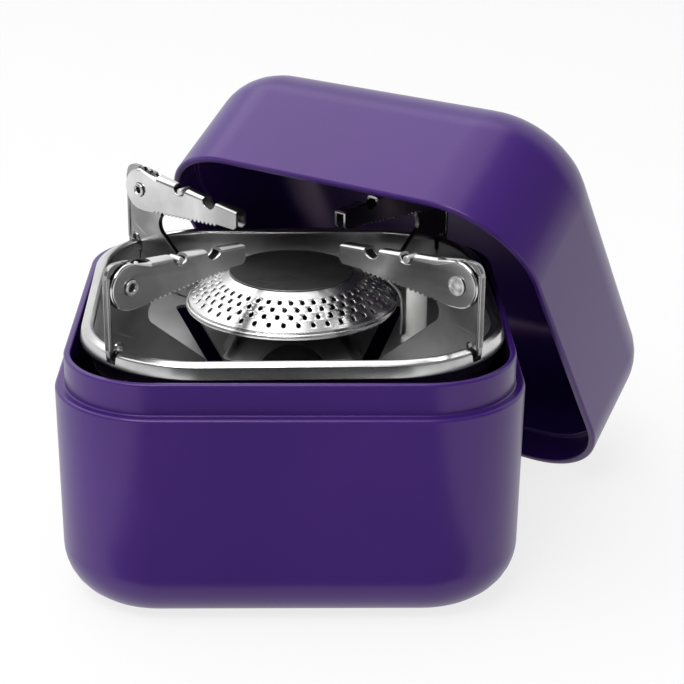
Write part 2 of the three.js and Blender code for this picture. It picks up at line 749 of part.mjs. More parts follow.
// ---- Valve, flame control and connector ----
function valveGeometry() {
  const top = valveBottom + valveHeight;
  const shank = rod(valveRadius, valveBottom, top, 32);
  const boss = rodAlongY(valveBossRadius, -valveBossReach, 0, 0, spindleAxis);
  return carve(shank, [
    rodAlongY(spindleRadius + fitGap, -valveBossReach - overcut, -spindleSeat, 0, spindleAxis, 16),
    rod(gasBore, valveBottom - overcut, top + overcut, 12),
  ], [boss]);
}
add(stove, 'valve_body', valveGeometry(), aluminium);

function glandNutGeometry() {
  const to = -valveBossReach - fitGap;
  const from = to - glandNutLength;
  const nut = rodAlongY(glandNutRadius, from, to, 0, spindleAxis, 6);
  return carve(nut, [rodAlongY(spindleRadius + fitGap, from - overcut, to + overcut, 0, spindleAxis, 16)]);
}
add(stove, 'gland_nut', glandNutGeometry(), brass);

const headNear = -valveBossReach - glandNutLength - 3 * fitGap;
const handleAxisY = headNear - spindleHeadSize / 2;

function spindleGeometry() {
  const halfHead = spindleHeadSize / 2;
  const head = block(-halfHead, halfHead, headNear - spindleHeadSize, headNear,
    spindleAxis - halfHead, spindleAxis + halfHead);
  const shank = rodAlongY(spindleRadius, headNear - overcut, -spindleSeat - 2 * fitGap, 0, spindleAxis, 16);
  const holeEnd = halfHead + overcut;
  const crossHole = rodAlongX(wireRadius + fitGap, -holeEnd, holeEnd, handleAxisY, spindleAxis, 12);
  return carve(head, [crossHole], [shank]);
}
add(stove, 'valve_spindle', spindleGeometry(), brass);

// Wire handle: both ends of the wire sit in the spindle's cross hole.
function handleGeometry() {
  const elbow = spindleHeadSize / 2 + 2 * wireRadius;
  const wide = handleWidth / 2;
  const far = handleAxisY - handleLength;
  const half = [
    [wireRadius, handleAxisY], [elbow - handleElbow, handleAxisY], [elbow, handleAxisY - handleElbow],
    [wide, handleAxisY - handleShoulder], [wide, far + handleRound],
    [wide - handleRound / 3, far + handleRound / 3], [wide / 2, far],
  ];
  const mirrored = half.slice().reverse().map(([x, y]) => [-x, y]);
  return wire([...half, ...mirrored].map(([x, y]) => [x, y, spindleAxis]), wireRadius, 40);
}
add(stove, 'flame_handle', handleGeometry(), stainless);

function collarGeometry() {
  const top = collarBottom + collarHeight;
  const shoulder = collarBottom + threadDepth;
  const pinBore = depressorRadius + fitGap;
  return turnedRing([
    [threadRadius, collarBottom], [collarRadius, collarBottom], [collarRadius, top - collarTaper],
    [valveRadius, top], [pinBore, top], [pinBore, shoulder], [threadRadius, shoulder],
  ], 32);
}
add(stove, 'connector_collar', collarGeometry(), brass);

const sealTop = collarBottom + threadDepth - fitGap;
add(stove, 'connector_seal', turnedRing([
  [depressorRadius + 2 * fitGap, sealTop - sealHeight], [threadRadius - fitGap, sealTop - sealHeight],
  [threadRadius - fitGap, sealTop], [depressorRadius + 2 * fitGap, sealTop],
], 24), rubber);

const depressorTop = collarBottom + collarHeight - fitGap;
const depressorTip = sealTop - sealHeight - depressorProud;
add(stove, 'valve_depressor', rod(depressorRadius, depressorTip, depressorTop, 12), brass);

// ---- Piezo igniter ----
const igniterEnd = igniterPlace + igniterLength;
const igniterBottom = bracketBottom + bracketSheet + fitGap;
const igniterAxis = igniterBottom + igniterHeight / 2;

function bracketGeometry() {
  const top = bracketBottom + bracketSheet;
  const washer = rod(valveRadius + 1, bracketBottom, top, 32);
  const strap = block(0, igniterEnd, -bracketWidth / 2, bracketWidth / 2, bracketBottom, top);
  return carve(washer, [rod(depressorRadius + fitGap, bracketBottom - overcut, top + overcut, 12)], [strap]);
}
add(stove, 'igniter_bracket', bracketGeometry(), stainless);

const boreDepth = buttonTravel + buttonHold;
function igniterGeometry() {
  const half = igniterWidth / 2;
  const body = block(igniterPlace, igniterEnd, -half, half, igniterBottom, igniterBottom + igniterHeight);
  const bore = rodAlongX(buttonRadius + fitGap, igniterEnd - boreDepth, igniterEnd + overcut, 0, igniterAxis);
  return carve(body, [bore]);
}
add(stove, 'igniter_body', igniterGeometry(), blackPlastic);

const buttonInner = igniterEnd - buttonHold + fitGap;
const buttonGeometry = rodAlongX(buttonRadius, buttonInner, buttonInner + buttonLength, 0, igniterAxis);
add(stove, 'igniter_button', buttonGeometry, redPlastic);

const insulatorBottom = panFloorTop - panSheet - insulatorBelowPan;
const insulatorTop = panFloorTop + insulatorAbovePan;
function insulatorGeometry() {
  const ringBottom = panFloorTop + fitGap;
  const ringRadius = insulatorRadius + insulatorFlange;
  return turnedRing([
    [insulatorBore, insulatorBottom], [insulatorRadius, insulatorBottom],
    [insulatorRadius, ringBottom], [ringRadius, ringBottom],
    [ringRadius, ringBottom + insulatorFlange], [insulatorRadius, ringBottom + insulatorFlare],
    [insulatorRadius, insulatorTop - insulatorRound], [insulatorRadius - insulatorRound, insulatorTop],
    [insulatorBore, insulatorTop],
  ], 20).translate(insulatorPlace.x, insulatorPlace.y, 0);
}
add(stove, 'electrode_insulator', insulatorGeometry(), ceramic);

// The electrode rises through the insulator and bends over towards the burner's holes.
function electrodeGeometry() {
  const { x, y } = insulatorPlace;
  const bendTop = insulatorTop + electrodeRise;
  // Share of the reach, and how far below the bend's top.
  const bend = [[0.08, electrodeRise / 4], [0.27, 0], [0.66, electrodeDip / 3], [1, electrodeDip]];
  const inwards = -electrodeReach / insulatorSpread;
  return wire([
    [x, y, insulatorBottom + overcut], [x, y, (insulatorBottom + insulatorTop) / 2], [x, y, insulatorTop],
    ...bend.map(([share, drop]) => [x + share * inwards * x, y + share * inwards * y, bendTop - drop]),
  ], electrodeRadius, 20);
}
add(stove, 'spark_electrode', electrodeGeometry(), stainless);

// The earth wire stands beside the burner's rim and bends over its holes.
function earthGeometry() {
  const { x, y } = earthPlace;
  const rise = coneHeight + earthClearance;
  // Share of the reach and share of the rise, along the bend.
  const bend = [[0, 0.07], [0.19, 0.47], [0.56, 0.77], [1, 1]];
  return wire([
    [x, y, panFloorTop - panSheet - earthTail], [x, y, (panFloorTop + coneBottom) / 2],
    ...bend.map(([share, height]) => [x - share * earthReach, y, coneBottom + height * rise]),
  ], electrodeRadius, 20);
}
add(stove, 'earth_electrode', earthGeometry(), stainless);

// Ignition lead: from the igniter's top to the electrode's foot, held at both ends.
function leadGeometry() {
  const start = igniterBottom + igniterHeight + fitGap;
  const end = insulatorBottom - fitGap;
  const { x, y } = insulatorPlace;
  return wire([
    [igniterPlace + 3, -2, start], [igniterPlace + 3, -2.2, start + 3], [igniterPlace + 5, -3, start + 6],
    [x - 4, -4.5, end - 6], [x - 0.6, y + 0.2, end - 3.5], [x, y, end],
  ], leadRadius, 20);
}
add(stove, 'ignition_lead', leadGeometry(), rubber);

export default outfit;
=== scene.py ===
"""Looks for the folding camping stove in its two-part case. Metres, +Z up, front towards -Y.

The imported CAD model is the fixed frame. The stove's own pieces are built with the stove square to
the axes and then turned with it, and each corner's support is built pointing along +X.
"""
import contextlib
import json
import math

import bmesh
import bpy
import numpy as np
from mathutils import Matrix, Vector


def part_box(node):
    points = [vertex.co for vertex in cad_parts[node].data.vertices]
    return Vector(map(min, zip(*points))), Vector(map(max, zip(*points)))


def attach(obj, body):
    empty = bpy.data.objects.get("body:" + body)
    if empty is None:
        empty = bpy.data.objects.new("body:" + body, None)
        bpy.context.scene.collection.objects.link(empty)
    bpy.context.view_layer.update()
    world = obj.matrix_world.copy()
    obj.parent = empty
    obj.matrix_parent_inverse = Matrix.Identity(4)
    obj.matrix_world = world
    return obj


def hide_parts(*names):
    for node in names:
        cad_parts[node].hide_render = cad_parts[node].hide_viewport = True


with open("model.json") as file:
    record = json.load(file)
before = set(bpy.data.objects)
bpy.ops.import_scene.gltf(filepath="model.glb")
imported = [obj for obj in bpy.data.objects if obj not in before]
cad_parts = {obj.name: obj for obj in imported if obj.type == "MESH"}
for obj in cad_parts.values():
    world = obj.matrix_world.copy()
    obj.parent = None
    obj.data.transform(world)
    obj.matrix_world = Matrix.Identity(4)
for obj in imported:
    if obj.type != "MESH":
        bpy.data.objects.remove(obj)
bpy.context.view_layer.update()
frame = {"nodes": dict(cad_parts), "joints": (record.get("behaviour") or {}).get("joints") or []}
joints = {joint["name"]: joint for joint in frame["joints"]}

MM = 0.001
DEGREE = math.pi / 180


# -------- places taken from the frame
def joint_place(name):
    return Vector(joints[name]["pos_m"]) / MM


def turned_back(node):
    """Box of a stove node in the stove's own square axes, in millimetres."""
    points = [STOVE_TURN.inverted() @ v.co / MM for v in frame["nodes"][node].data.vertices]
    low = Vector(min(p[i] for p in points) for i in range(3))
    high = Vector(max(p[i] for p in points) for i in range(3))
    return low, high


valve_axis = joints["flame_valve"]["axis"]
STOVE_TURN = Matrix.Rotation(math.atan2(valve_axis[0], -valve_axis[1]), 4, "Z")

case_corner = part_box("case_base")[1] / MM
CASE_HALF = case_corner.x
NECK_TOP = case_corner.z
pan_low, pan_high = turned_back("wind_pan")
PAN_HALF = pan_high.x
PAN_RIM_TOP = pan_high.z
PAN_SHEET = 0.7
PAN_FLOOR_TOP = pan_low.z + PAN_SHEET
pivot = joint_place("arm_front_left_fold")
PIVOT_HEIGHT = pivot.z
PIVOT_RADIAL = math.hypot(pivot.x, pivot.y)
cone_low, cone_high = turned_back("burner_cone")
CORNERS = ("rear_right", "rear_left", "front_left", "front_right")

# -------- sizes, in millimetres
# Left between pieces that touch on the real stove.
GAP = 0.3

# Case and lid: the recess in the lid slips over the neck of the case.
CASE_CORNER = 21
CASE_FILLET = 11
CASE_DRAFT = 0.4
CASE_FLOOR = 2
NECK_STEP = 2
NECK_WALL = 1.4
NECK_HEIGHT = 6.6
SHOULDER = NECK_TOP - NECK_HEIGHT
LID_CORNER = 21.5
LID_FILLET = 12.7
LID_DRAFT = 0.7
LID_WALL = 2.8
LID_TOP_WALL = 1.4
LID_RECESS_GAP = 0.35

# Wind pan: a floor, a wall that bends up from it, and a crowned lip round the rim.
PAN_CORNER = 25.2
PAN_WALL_RUN = 10.6
PAN_WALL_INSET = 2.9
PAN_BEND = 4.2
PAN_RIM_WIDTH = 2.5
LIP_HEIGHT = 3.2
LIP_WIDTH = 3.2
LIP_RISE = 0.3
LIP_SLOPE = 0.7
LIP_DRAFT = 0.5
LIP_BOTTOM = PAN_RIM_TOP - LIP_HEIGHT
# How much farther out the pan reaches along a diagonal than along a side.
PAN_SHIFT = (math.sqrt(2) - 1) * (PAN_HALF - PAN_CORNER)
LIP_INSIDE = PAN_HALF + PAN_SHIFT - LIP_WIDTH
RIM_SLOT_HALF = 1.3
RIM_SLOT_DEPTH = 2.3
RIM_SLOT_BOTTOM = PAN_RIM_TOP - RIM_SLOT_DEPTH
VENT_REAR = Vector((23.7, 16, 0))
VENT_FRONT = Vector((15.8, -16.5, 0))
VENT_WIDTH = 3.6
SCREW_SPREAD = 8.5
SCREW_RADIUS = 1
TUBE_RADIUS = 4.6
INSULATOR_RADIUS = 2.25
EARTH_FOOT_RADIUS = 0.45

# Supports: a plate across each corner, hooked over the rim, with a lobe round the arm's pivot.
PLATE_SHEET = 1.2
PLATE_REACH = 25.7
LOBE_RADIUS = 5.2
PLATE_OUTER = PIVOT_RADIAL + LOBE_RADIUS
PLATE_TOP = PIVOT_HEIGHT + LOBE_RADIUS
PLATE_TOP_ROUND = 2.4
PLATE_TOE = 1.2
TAB_START = PLATE_OUTER - 21.5
TAB_LENGTH = 5
TAB_DROP = 0.6
HOLLOW_RADIUS = 2.75
HOLLOW_INWARDS = 7.9
HOLLOW_DROP = 7.2
PLATE_HOLE_INSET = 2.4
PLATE_HOLE_HEIGHT = 2.7
PLATE_HOLE_RADIUS = 0.7
BURR_HEIGHT = 0.35
HEM_HALF = 0.88
HEM_WIDTH = 0.8
STOP_TEETH = 3
STOP_TEETH_START = 0.6
STOP_TOOTH_PITCH = 1.8
STOP_TOOTH_WIDTH = 0.8
STOP_TOOTH_DEPTH = 1.1

# Arms: inverted channels, with distances measured from the pivot to the tip.
ARM_LENGTH = 31.2
ARM_SHEET = 0.6
ARM_TIP_TOP = 1.3
ARM_TIP_DROP = 2.7
ARM_TIP_BEVEL = 0.8
ARM_TIP_TOP_BEVEL = (0.3, 0.4)
ARM_HEEL_RADIUS = 4.8
ARM_HEEL_ROUND = 0.45
ARM_GAP = 0.35
ARM_GROOVE_HALF = PLATE_SHEET / 2 + ARM_GAP
ARM_WIDTH = PLATE_SHEET + 2 * (ARM_GAP + ARM_SHEET)
ARM_FOLD = 1.25
WEB_START = LOBE_RADIUS + 0.5
NOTCH_RADIUS = 2
NOTCH_ROUND = 0.22
NOTCHES = (13.3, 22.6)
TEETH = 16
TOOTH_START = 5
TOOTH_PITCH = 1.25
TOOTH_DEPTH = 0.5
TOOTH_FLAT = 0.24

# Rivets and cross pins of the arms.
RIVET_RADIUS = 1.4
RIVET_FLARE_RADIUS = 1.6
RIVET_BORE_RADIUS = 0.8
RIVET_HEAD_RADIUS = 2
RIVET_HEAD_HEIGHT = 0.55
RIVET_DOME_RADIUS = 3.65
PIN_RADIUS = 0.8

# Flame cone: heights are shares of the way from its foot to its top.
CONE_BEAD_LIFT = 0.3
CONE_SHEET = 0.7
CONE_TOP_RADIUS = 13.2
CONE_TOP_ROUND = 0.45
CONE_BULGE = 0.22
CONE_FOOT_SHARE = 0.05
# What a point of the sheet loses in radius and in height for each mm that it is pressed in.
CONE_INWARDS = (0.5, 0.85)
BEAD_HEIGHT = 1.3
BEAD_WIDTH = 1.6
FLAME_ROWS = 4
FLAME_ROW_PITCH = 0.183
FLAME_ROWS_TOP = 0.853
FLAME_HOLES = 42
FLAME_HOLE_HALF_WIDTH = 0.5
FLAME_HOLE_HALF_HEIGHT = 0.7
FLAME_HOLE_DISH = 0.07
CELL_STRIPS = 4

# The rest of the burner.
CAP_RADIUS = 13.3
CAP_LIFT = 0.3
CUP_SHEET = 0.6
CUP_LIP_INSET = 1.7
CUP_LIP_RISE = 1.3
PEDESTAL_TOP_HALF = 10.8
PEDESTAL_SPREAD = 2.2
PEDESTAL_CORNER = 2.5
PEDESTAL_SHEET = 0.8
ARCH_RADIUS = 9.8
ARCH_SUNK = 7.4
WINDOW_RADIUS = 2.3
STEM_HEAD_RADIUS = 1.5
STEM_NECK_RADIUS = 0.9
STEM_FOOT_RADIUS = 1.4
STEM_TIP_RADIUS = 0.7
STEM_DROP = 0.9
EARTH_WIRE_RADIUS = 0.32
SPARK_WIRE_RADIUS = 0.5


# -------- shapes
def arc(centre, radius, start, end, steps):
    """Points round an arc, angles in degrees."""
    angles = [(start + (end - start) * i / steps) * DEGREE for i in range(steps + 1)]
    return [(centre[0] + radius * math.cos(a), centre[1] + radius * math.sin(a)) for a in angles]


def rounded(corners, steps=5, closed=False):
    """Path through (x, z, radius) corners, each rounded by its radius."""
    count = len(corners)
    path = []
    for i, (x, z, radius) in enumerate(corners):
        here = Vector((x, z))
        if radius <= 0 or (not closed and i in (0, count - 1)):
            path.append((x, z))
            continue
        before = Vector(corners[i - 1][:2]) - here
        after = Vector(corners[(i + 1) % count][:2]) - here
        half_angle = before.angle(after) / 2
        reach = radius / math.tan(half_angle)
        towards_centre = (before.normalized() + after.normalized()).normalized()
        centre = here + towards_centre * radius / math.sin(half_angle)
        first = here + before.normalized() * reach - centre
        last = here + after.normalized() * reach - centre
        for step in range(steps + 1):
            share = step / steps
            blend = (first * (1 - share) + last * share).normalized() * radius
            path.append(tuple(centre + blend))
    return path


def rounded_square(half, corner, steps):
    """Rounded square outline, counter-clockwise from the right side's rear end."""
    corner = max(corner, 0.05)
    centre = half - corner
    points = []
    for start in (0, 90, 180, 270):
        middle = arc((0, 0), centre * math.sqrt(2), start + 45, start + 45, 1)[0]
        points += arc(middle, corner, start, start + 90, steps)
    return points


def mesh_from(points, faces):
    mesh = bpy.data.meshes.new("shape")
    mesh.from_pydata([Vector(p) * MM for p in points], [], faces)
    mesh.validate()
    return mesh


def square_shell(half, corner, profile, steps=20):
    """Closed rounded-square body. The profile is (inset from the outside, height), pole to pole."""
    points = [(0, 0, profile[0][1])]
    for inset, z in profile:
        points += [(x, y, z) for x, y in rounded_square(half - inset, corner - inset, steps)]
    points.append((0, 0, profile[-1][1]))
    count = 4 * (steps + 1)
    last = len(points) - 1
    faces = []
    for i in range(count):
        j = (i + 1) % count
        faces.append((0, 1 + j, 1 + i))
        top = 1 + (len(profile) - 1) * count
        faces.append((last, top + i, top + j))
        for ring in range(len(profile) - 1):
            low, high = 1 + ring * count, 1 + (ring + 1) * count
            faces.append((low + i, low + j, high + j, high + i))
    return mesh_from(points, faces)


def lathe(profile, segments=64):
    """Turned body about Z. The profile is (radius, height), and it closes on itself or on the axis."""
    points, faces, rings = [], [], []
    for radius, z in profile:
        if radius < 1e-6:
            rings.append([len(points)])
            points.append((0, 0, z))
        else:
            rings.append(list(range(len(points), len(points) + segments)))
            for i in range(segments):
                angle = 2 * math.pi * i / segments
                points.append((radius * math.cos(angle), radius * math.sin(angle), z))
    closed = len(rings[0]) > 1
    for low, high in zip(rings, rings[1:] + (rings[:1] if closed else [])):
        for i in range(segments):
            j = (i + 1) % segments
            face = [low[i % len(low)], low[j % len(low)], high[j % len(high)], high[i % len(high)]]
            faces.append(tuple(dict.fromkeys(face)))
    return mesh_from(points, [face for face in faces if len(face) > 2])


def upright(outline, thickness):
    """Sheet in the XZ plane from its outline, centred on y = 0."""
    count = len(outline)
    near = [(x, -thickness / 2, z) for x, z in outline]
    far = [(x, thickness / 2, z) for x, z in outline]
    sides = [(i, (i + 1) % count, count + (i + 1) % count, count + i) for i in range(count)]
    return mesh_from(near + far, [tuple(range(count))[::-1], tuple(range(count, 2 * count)), *sides])


def cylinder(radius, start, end, segments=32):
    """Solid rod between two points, in millimetres."""
    start, end = Vector(start), Vector(end)
    length = (end - start).length
    mesh = lathe([(0, 0), (radius, 0), (radius, length), (0, length)], segments)
    turn = (end - start).to_track_quat("Z", "Y").to_matrix().to_4x4()
    mesh.transform(Matrix.Translation(start * MM) @ turn)
    return mesh


def upright_rod(radius, x, y, low, high, segments=32):
    return cylinder(radius, (x, y, low), (x, y, high), segments)


def rod_along_y(radius, x, z, reach, segments=32):
    return cylinder(radius, (x, -reach, z), (x, reach, z), segments)


def crossed_rods(radius, z, reach, segments):
    """Rods along Y and along X through the middle."""
    along_x = cylinder(radius, (-reach, 0, z), (reach, 0, z), segments)
    return [rod_along_y(radius, 0, z, reach, segments), along_x]


def box_mesh(low, high):
    points = [(x, y, z) for x in (low[0], high[0]) for y in (low[1], high[1]) for z in (low[2], high[2])]
    faces = [(0, 1, 3, 2), (4, 6, 7, 5), (0, 4, 5, 1), (2, 3, 7, 6), (0, 2, 6, 4), (1, 5, 7, 3)]
    return mesh_from(points, faces)


@contextlib.contextmanager
def editing(mesh, result=None):
    """Opens a mesh for editing, and writes it back to itself or to another mesh."""
    work = bmesh.new()
    work.from_mesh(mesh)
    yield work
    work.to_mesh(mesh if result is None else result)
    work.free()


def outwards(mesh):
    """Turns every face of a closed mesh outwards."""
    with editing(mesh) as work:
        bmesh.ops.remove_doubles(work, verts=work.verts, dist=1e-7)
        bmesh.ops.recalc_face_normals(work, faces=work.faces)
    return mesh


def joined(meshes):
    result = bpy.data.meshes.new("joined")
    with editing(result) as work:
        for mesh in meshes:
            work.from_mesh(outwards(mesh))
    return result


def added(name, data):
    """New object in the scene."""
    thing = bpy.data.objects.new(name, data)
    bpy.context.scene.collection.objects.link(thing)
    return thing


def final_mesh(carrier):
    """Mesh of an object after its modifiers. The object is taken away."""
    mesh = bpy.data.meshes.new_from_object(carrier.evaluated_get(bpy.context.evaluated_depsgraph_get()))
    bpy.data.objects.remove(carrier)
    return mesh


def with_modifiers(mesh, *settings):
    """The mesh after a stack of modifiers, each given as (type, {setting: value})."""
    carrier = added("carrier", mesh)
    for kind, values in settings:
        modifier = carrier.modifiers.new(kind, kind)
        for key, value in values.items():
            setattr(modifier, key, value)
    return final_mesh(carrier)


def cut(mesh, cutters):
    """The mesh with every cutter taken away."""
    tool = added("tool", joined(cutters))
    settings = {"operation": "DIFFERENCE", "solver": "EXACT", "object": tool, "use_self": True}
    result = with_modifiers(outwards(mesh), ("BOOLEAN", settings))
    bpy.data.objects.remove(tool)
    return result


def softened(mesh, width, segments=2, angle=35):
    """The mesh with its sharp edges rounded by a width in millimetres."""
    return with_modifiers(mesh, ("BEVEL", {
        "width": width * MM, "segments": segments, "limit_method": "ANGLE",
        "angle_limit": angle * DEGREE, "use_clamp_overlap": True, "harden_normals": False,
    }))


def bevelled(mesh, chosen, width, segments):
    """The mesh with the chosen edges rounded. Chosen is a test on an edge's two ends, in millimetres."""
    with editing(mesh) as work:
        edges = [edge for edge in work.edges if chosen(edge.verts[0].co / MM, edge.verts[1].co / MM)]
        bmesh.ops.bevel(work, geom=edges, offset=width * MM, segments=segments, profile=0.5, affect="EDGES")
    return mesh


def place(node, mesh, finish, body="stove", matrix=None, kind="fine", sharp=32, flat_faces=True):
    """Makes a mesh the piece, named node_kind, that rides on a body and stands for a CAD node."""
    mesh.shade_smooth()
    mesh.set_sharp_from_angle(angle=sharp * DEGREE)
    if flat_faces:
        mesh = with_modifiers(mesh, ("WEIGHTED_NORMAL", {"keep_sharp": True}))
    mesh.materials.clear()
    mesh.materials.append(finish["material"])
    piece = added(f"{node}_{kind}", mesh)
    mesh.name = piece.name
    if matrix is not None:
        piece.matrix_world = matrix
    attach(piece, body)
    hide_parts(node)


def cad_shape(node, flat_angle=0):
    """A CAD node's own mesh, with its faces merged where they meet at less than an angle."""
    mesh = bpy.data.meshes.new(node)
    with editing(frame["nodes"][node].data, mesh) as work:
        bmesh.ops.remove_doubles(work, verts=work.verts, dist=1e-6)
        if flat_angle:
            limit = flat_angle * DEGREE
            bmesh.ops.dissolve_limit(work, angle_limit=limit, verts=work.verts, edges=work.edges)
    return mesh


def refined(node, finish, bevel, angle=35, body="stove"):
    """A CAD node's own shape with its edges rounded and its round faces smoothed."""
    mesh = cad_shape(node, 1)
    if bevel:
        mesh = softened(mesh, bevel, 2, angle)
    place(node, mesh, finish, body, sharp=angle)


# -------- materials
class Nodes:
    """A material with a short way to add and link nodes."""

    def __init__(self, name):
        self.material = bpy.data.materials.new(name)
        self.material.use_nodes = True
        self.tree = self.material.node_tree

    def add(self, kind, links=None, **settings):
        """New node's outputs. Links give each input a plain value or another node's output."""
        node = self.tree.nodes.new(kind)
        for key, value in settings.items():
            setattr(node, key, value)
        for key, value in (links or {}).items():
            if isinstance(value, bpy.types.NodeSocket):
                self.tree.links.new(value, node.inputs[key])
            else:
                node.inputs[key].default_value = value
        return node.outputs

    def maths(self, operation, first, second):
        return self.add("ShaderNodeMath", {0: first, 1: second}, operation=operation)[0]

    def times(self, first, second):
        return self.maths("MULTIPLY", first, second)

    def highest(self, values):
        total = values[0]
        for value in values[1:]:
            total = self.maths("MAXIMUM", total, value)
        return total


class Shader(Nodes):
    """A Principled material in the object's own coordinates."""

    def __init__(self, name, slot, **settings):
        super().__init__(name)
        self.surface = self.tree.nodes["Principled BSDF"]
        self.slot = slot
        self.position = self.add("ShaderNodeTexCoord")["Object"]
        for key, value in settings.items():
            self.surface.inputs[key.replace("_", " ")].default_value = value

    def along(self, length, turn):
        """Coordinates stretched along a line, X unless it is turned."""
        return self.add("ShaderNodeMapping", {
            "Vector": self.position, "Scale": (length, 1, 1), "Rotation": [angle * DEGREE for angle in turn],
        }, vector_type="TEXTURE")["Vector"]

    def noise(self, scale, detail=3, roughness=0.5, vector=None):
        return self.add("ShaderNodeTexNoise", {
            "Vector": vector or self.position, "Scale": scale, "Detail": detail, "Roughness": roughness,
        })["Fac"]

    def ramp(self, value, low, high, to_low=0, to_high=1):
        return self.add("ShaderNodeMapRange", {
            "Value": value, "From Min": low, "From Max": high, "To Min": to_low, "To Max": to_high,
        })["Result"]

    def mix(self, factor, first, second):
        return self.add("ShaderNodeMix", {0: factor, 6: first, 7: second}, data_type="RGBA")[2]

    def vectors(self, operation, first, second=(0, 0, 0)):
        return self.add("ShaderNodeVectorMath", {0: first, 1: second}, operation=operation)

    def set(self, key, socket):
        self.tree.links.new(socket, self.surface.inputs[key])

    def bump(self, height, strength, distance):
        links = {"Height": height, "Strength": strength, "Distance": distance * MM}
        self.set("Normal", self.add("ShaderNodeBump", links)["Normal"])

    def fade(self, axis, start, end, amount):
        """0 up to the start and the amount past the end, along an axis, in mm."""
        height = self.add("ShaderNodeSeparateXYZ", {0: self.position})[axis]
        return self.ramp(height, start * MM, end * MM, 0, amount)

    def scratches(self, plane, angles, scale=800):
        """Sparse thin lines at several angles in a plane, 0 to 1. The plane is its normal's axis, 1 or 2."""
        lines = []
        for i, angle in enumerate(angles):
            turn = (0, angle, 0.3 * i) if plane == 1 else (0.3 * i, 0, angle)
            grain = self.noise(scale * (1 + 0.2 * i), 1, 0.5, self.along(14, turn))
            lines.append(self.ramp(grain, 0.68, 0.76))
        return self.highest(lines)

    def finish(self):
        return {"material": self.material, "slot": self.slot}


def rgb(red, green, blue):
    """Linear colour from sRGB values out of 255."""
    channels = [value / 255 for value in (red, green, blue)]
    return (*[v / 12.92 if v <= 0.04045 else ((v + 0.055) / 1.055) ** 2.4 for v in channels], 1)


def grey(value):
    return rgb(value, value, value)


def purple_plastic():
    """Glossy plastic whose colour is painted grey for glossy rays, a painted reflection, so that metal
    reflects it in grey more than in purple.
    """
    shader = Shader("purple_plastic", "purple_shell", IOR=1.5, Roughness=0.3,
                    Specular_Tint=(1, 0.72, 0.82, 1))
    cloud = shader.noise(26)
    purple = shader.mix(shader.ramp(cloud, 0.35, 0.65), rgb(56, 27, 106), rgb(60, 30, 112))
    # painted reflection: glossy rays see the base colour mixed three quarters of the way to grey
    mirrored = shader.times(shader.add("ShaderNodeLightPath")["Is Glossy Ray"], 0.75)
    shader.set("Base Color", shader.mix(mirrored, purple, rgb(44, 42, 46)))
    return shader.finish()


def sheet_steel(name, light, dark, rough, grain=(0, 0, 0), plane=1, scratch=0.3, slot="stainless",
                darker=None, duller=None):
    """Satin sheet steel: faint grain along X or a line turned from it, clouds, and patches of scratches.

    darker and duller each fade in along an axis: the axis, where the fade starts and ends, how much. darker
    is painted shade, a fade of the colour towards black.
    """
    shader = Shader(name, slot, Metallic=1.0)
    brushed = shader.noise(1100, 2, 0.5, shader.along(30, grain))
    cloud = shader.noise(90)
    patches = shader.ramp(cloud, 0.5, 0.62)
    lines = shader.times(shader.times(shader.scratches(plane, (12, -28, 64)), patches), scratch)
    clean = shader.mix(shader.ramp(cloud, 0.35, 0.65), light, dark)
    tone = shader.mix(lines, clean, grey(232))
    if darker:
        # painted shade: the colour fades towards black along the axis
        tone = shader.mix(shader.fade(*darker), tone, grey(0))
    shader.set("Base Color", tone)
    faint = shader.times(brushed, 0.3)
    worn = shader.maths("ADD", faint, shader.times(cloud, 0.7))
    satin = shader.ramp(worn, 0.35, 0.65, *rough)
    if duller:
        satin = shader.maths("ADD", satin, shader.fade(*duller))
    shader.set("Roughness", satin)
    shader.bump(shader.maths("SUBTRACT", faint, lines), 0.12, 0.012)
    return shader.finish()


def flame_steel():
    """The cone's bright steel, with soft dark stripes of painted reflection running down it."""
    shader = Shader("cone_steel", "stainless", Metallic=1.0)
    flat = shader.vectors("MULTIPLY", shader.position, (1, 1, 0))[0]
    outward = shader.vectors("NORMALIZE", flat)[0]
    # painted reflections: the colour darkens in two narrow bands at fixed angles either side of the front
    reflection_streaks = []
    for angle in (-62, -118):
        towards = (math.cos(angle * DEGREE), math.sin(angle * DEGREE), 0)
        aligned = shader.vectors("DOT_PRODUCT", outward, towards)["Value"]
        reflection_streaks.append(shader.ramp(aligned, math.cos(5 * DEGREE), math.cos(2 * DEGREE)))
    patches = shader.ramp(shader.noise(260), 0.35, 0.6, 0.3, 1)
    patchy_reflections = shader.times(shader.highest(reflection_streaks), patches)
    tone = shader.mix(shader.ramp(shader.noise(150, 4, 0.6), 0.35, 0.7), grey(238), grey(218))
    shader.set("Base Color", shader.mix(shader.times(patchy_reflections, 0.8), tone, grey(96)))
    shader.set("Roughness", shader.ramp(shader.noise(120), 0.3, 0.7, 0.22, 0.3))
    shader.bump(shader.noise(500, 2), 0.05, 0.02)
    return shader.finish()


def plain(name, slot, color, rough, metal=0.0, grain=900, depth=0.04):
    """Nearly even material with a fine bumpy grain."""
    shader = Shader(name, slot, Metallic=metal)
    tone = shader.ramp(shader.noise(120, 4, 0.6), 0.3, 0.7)
    darker = (*[channel * 0.8 for channel in color[:3]], 1)
    shader.set("Base Color", shader.mix(tone, darker, color))
    shader.set("Roughness", shader.ramp(tone, 0, 1, rough * 0.85, rough * 1.15))
    shader.bump(shader.noise(grain), 0.25, depth)
    return shader.finish()


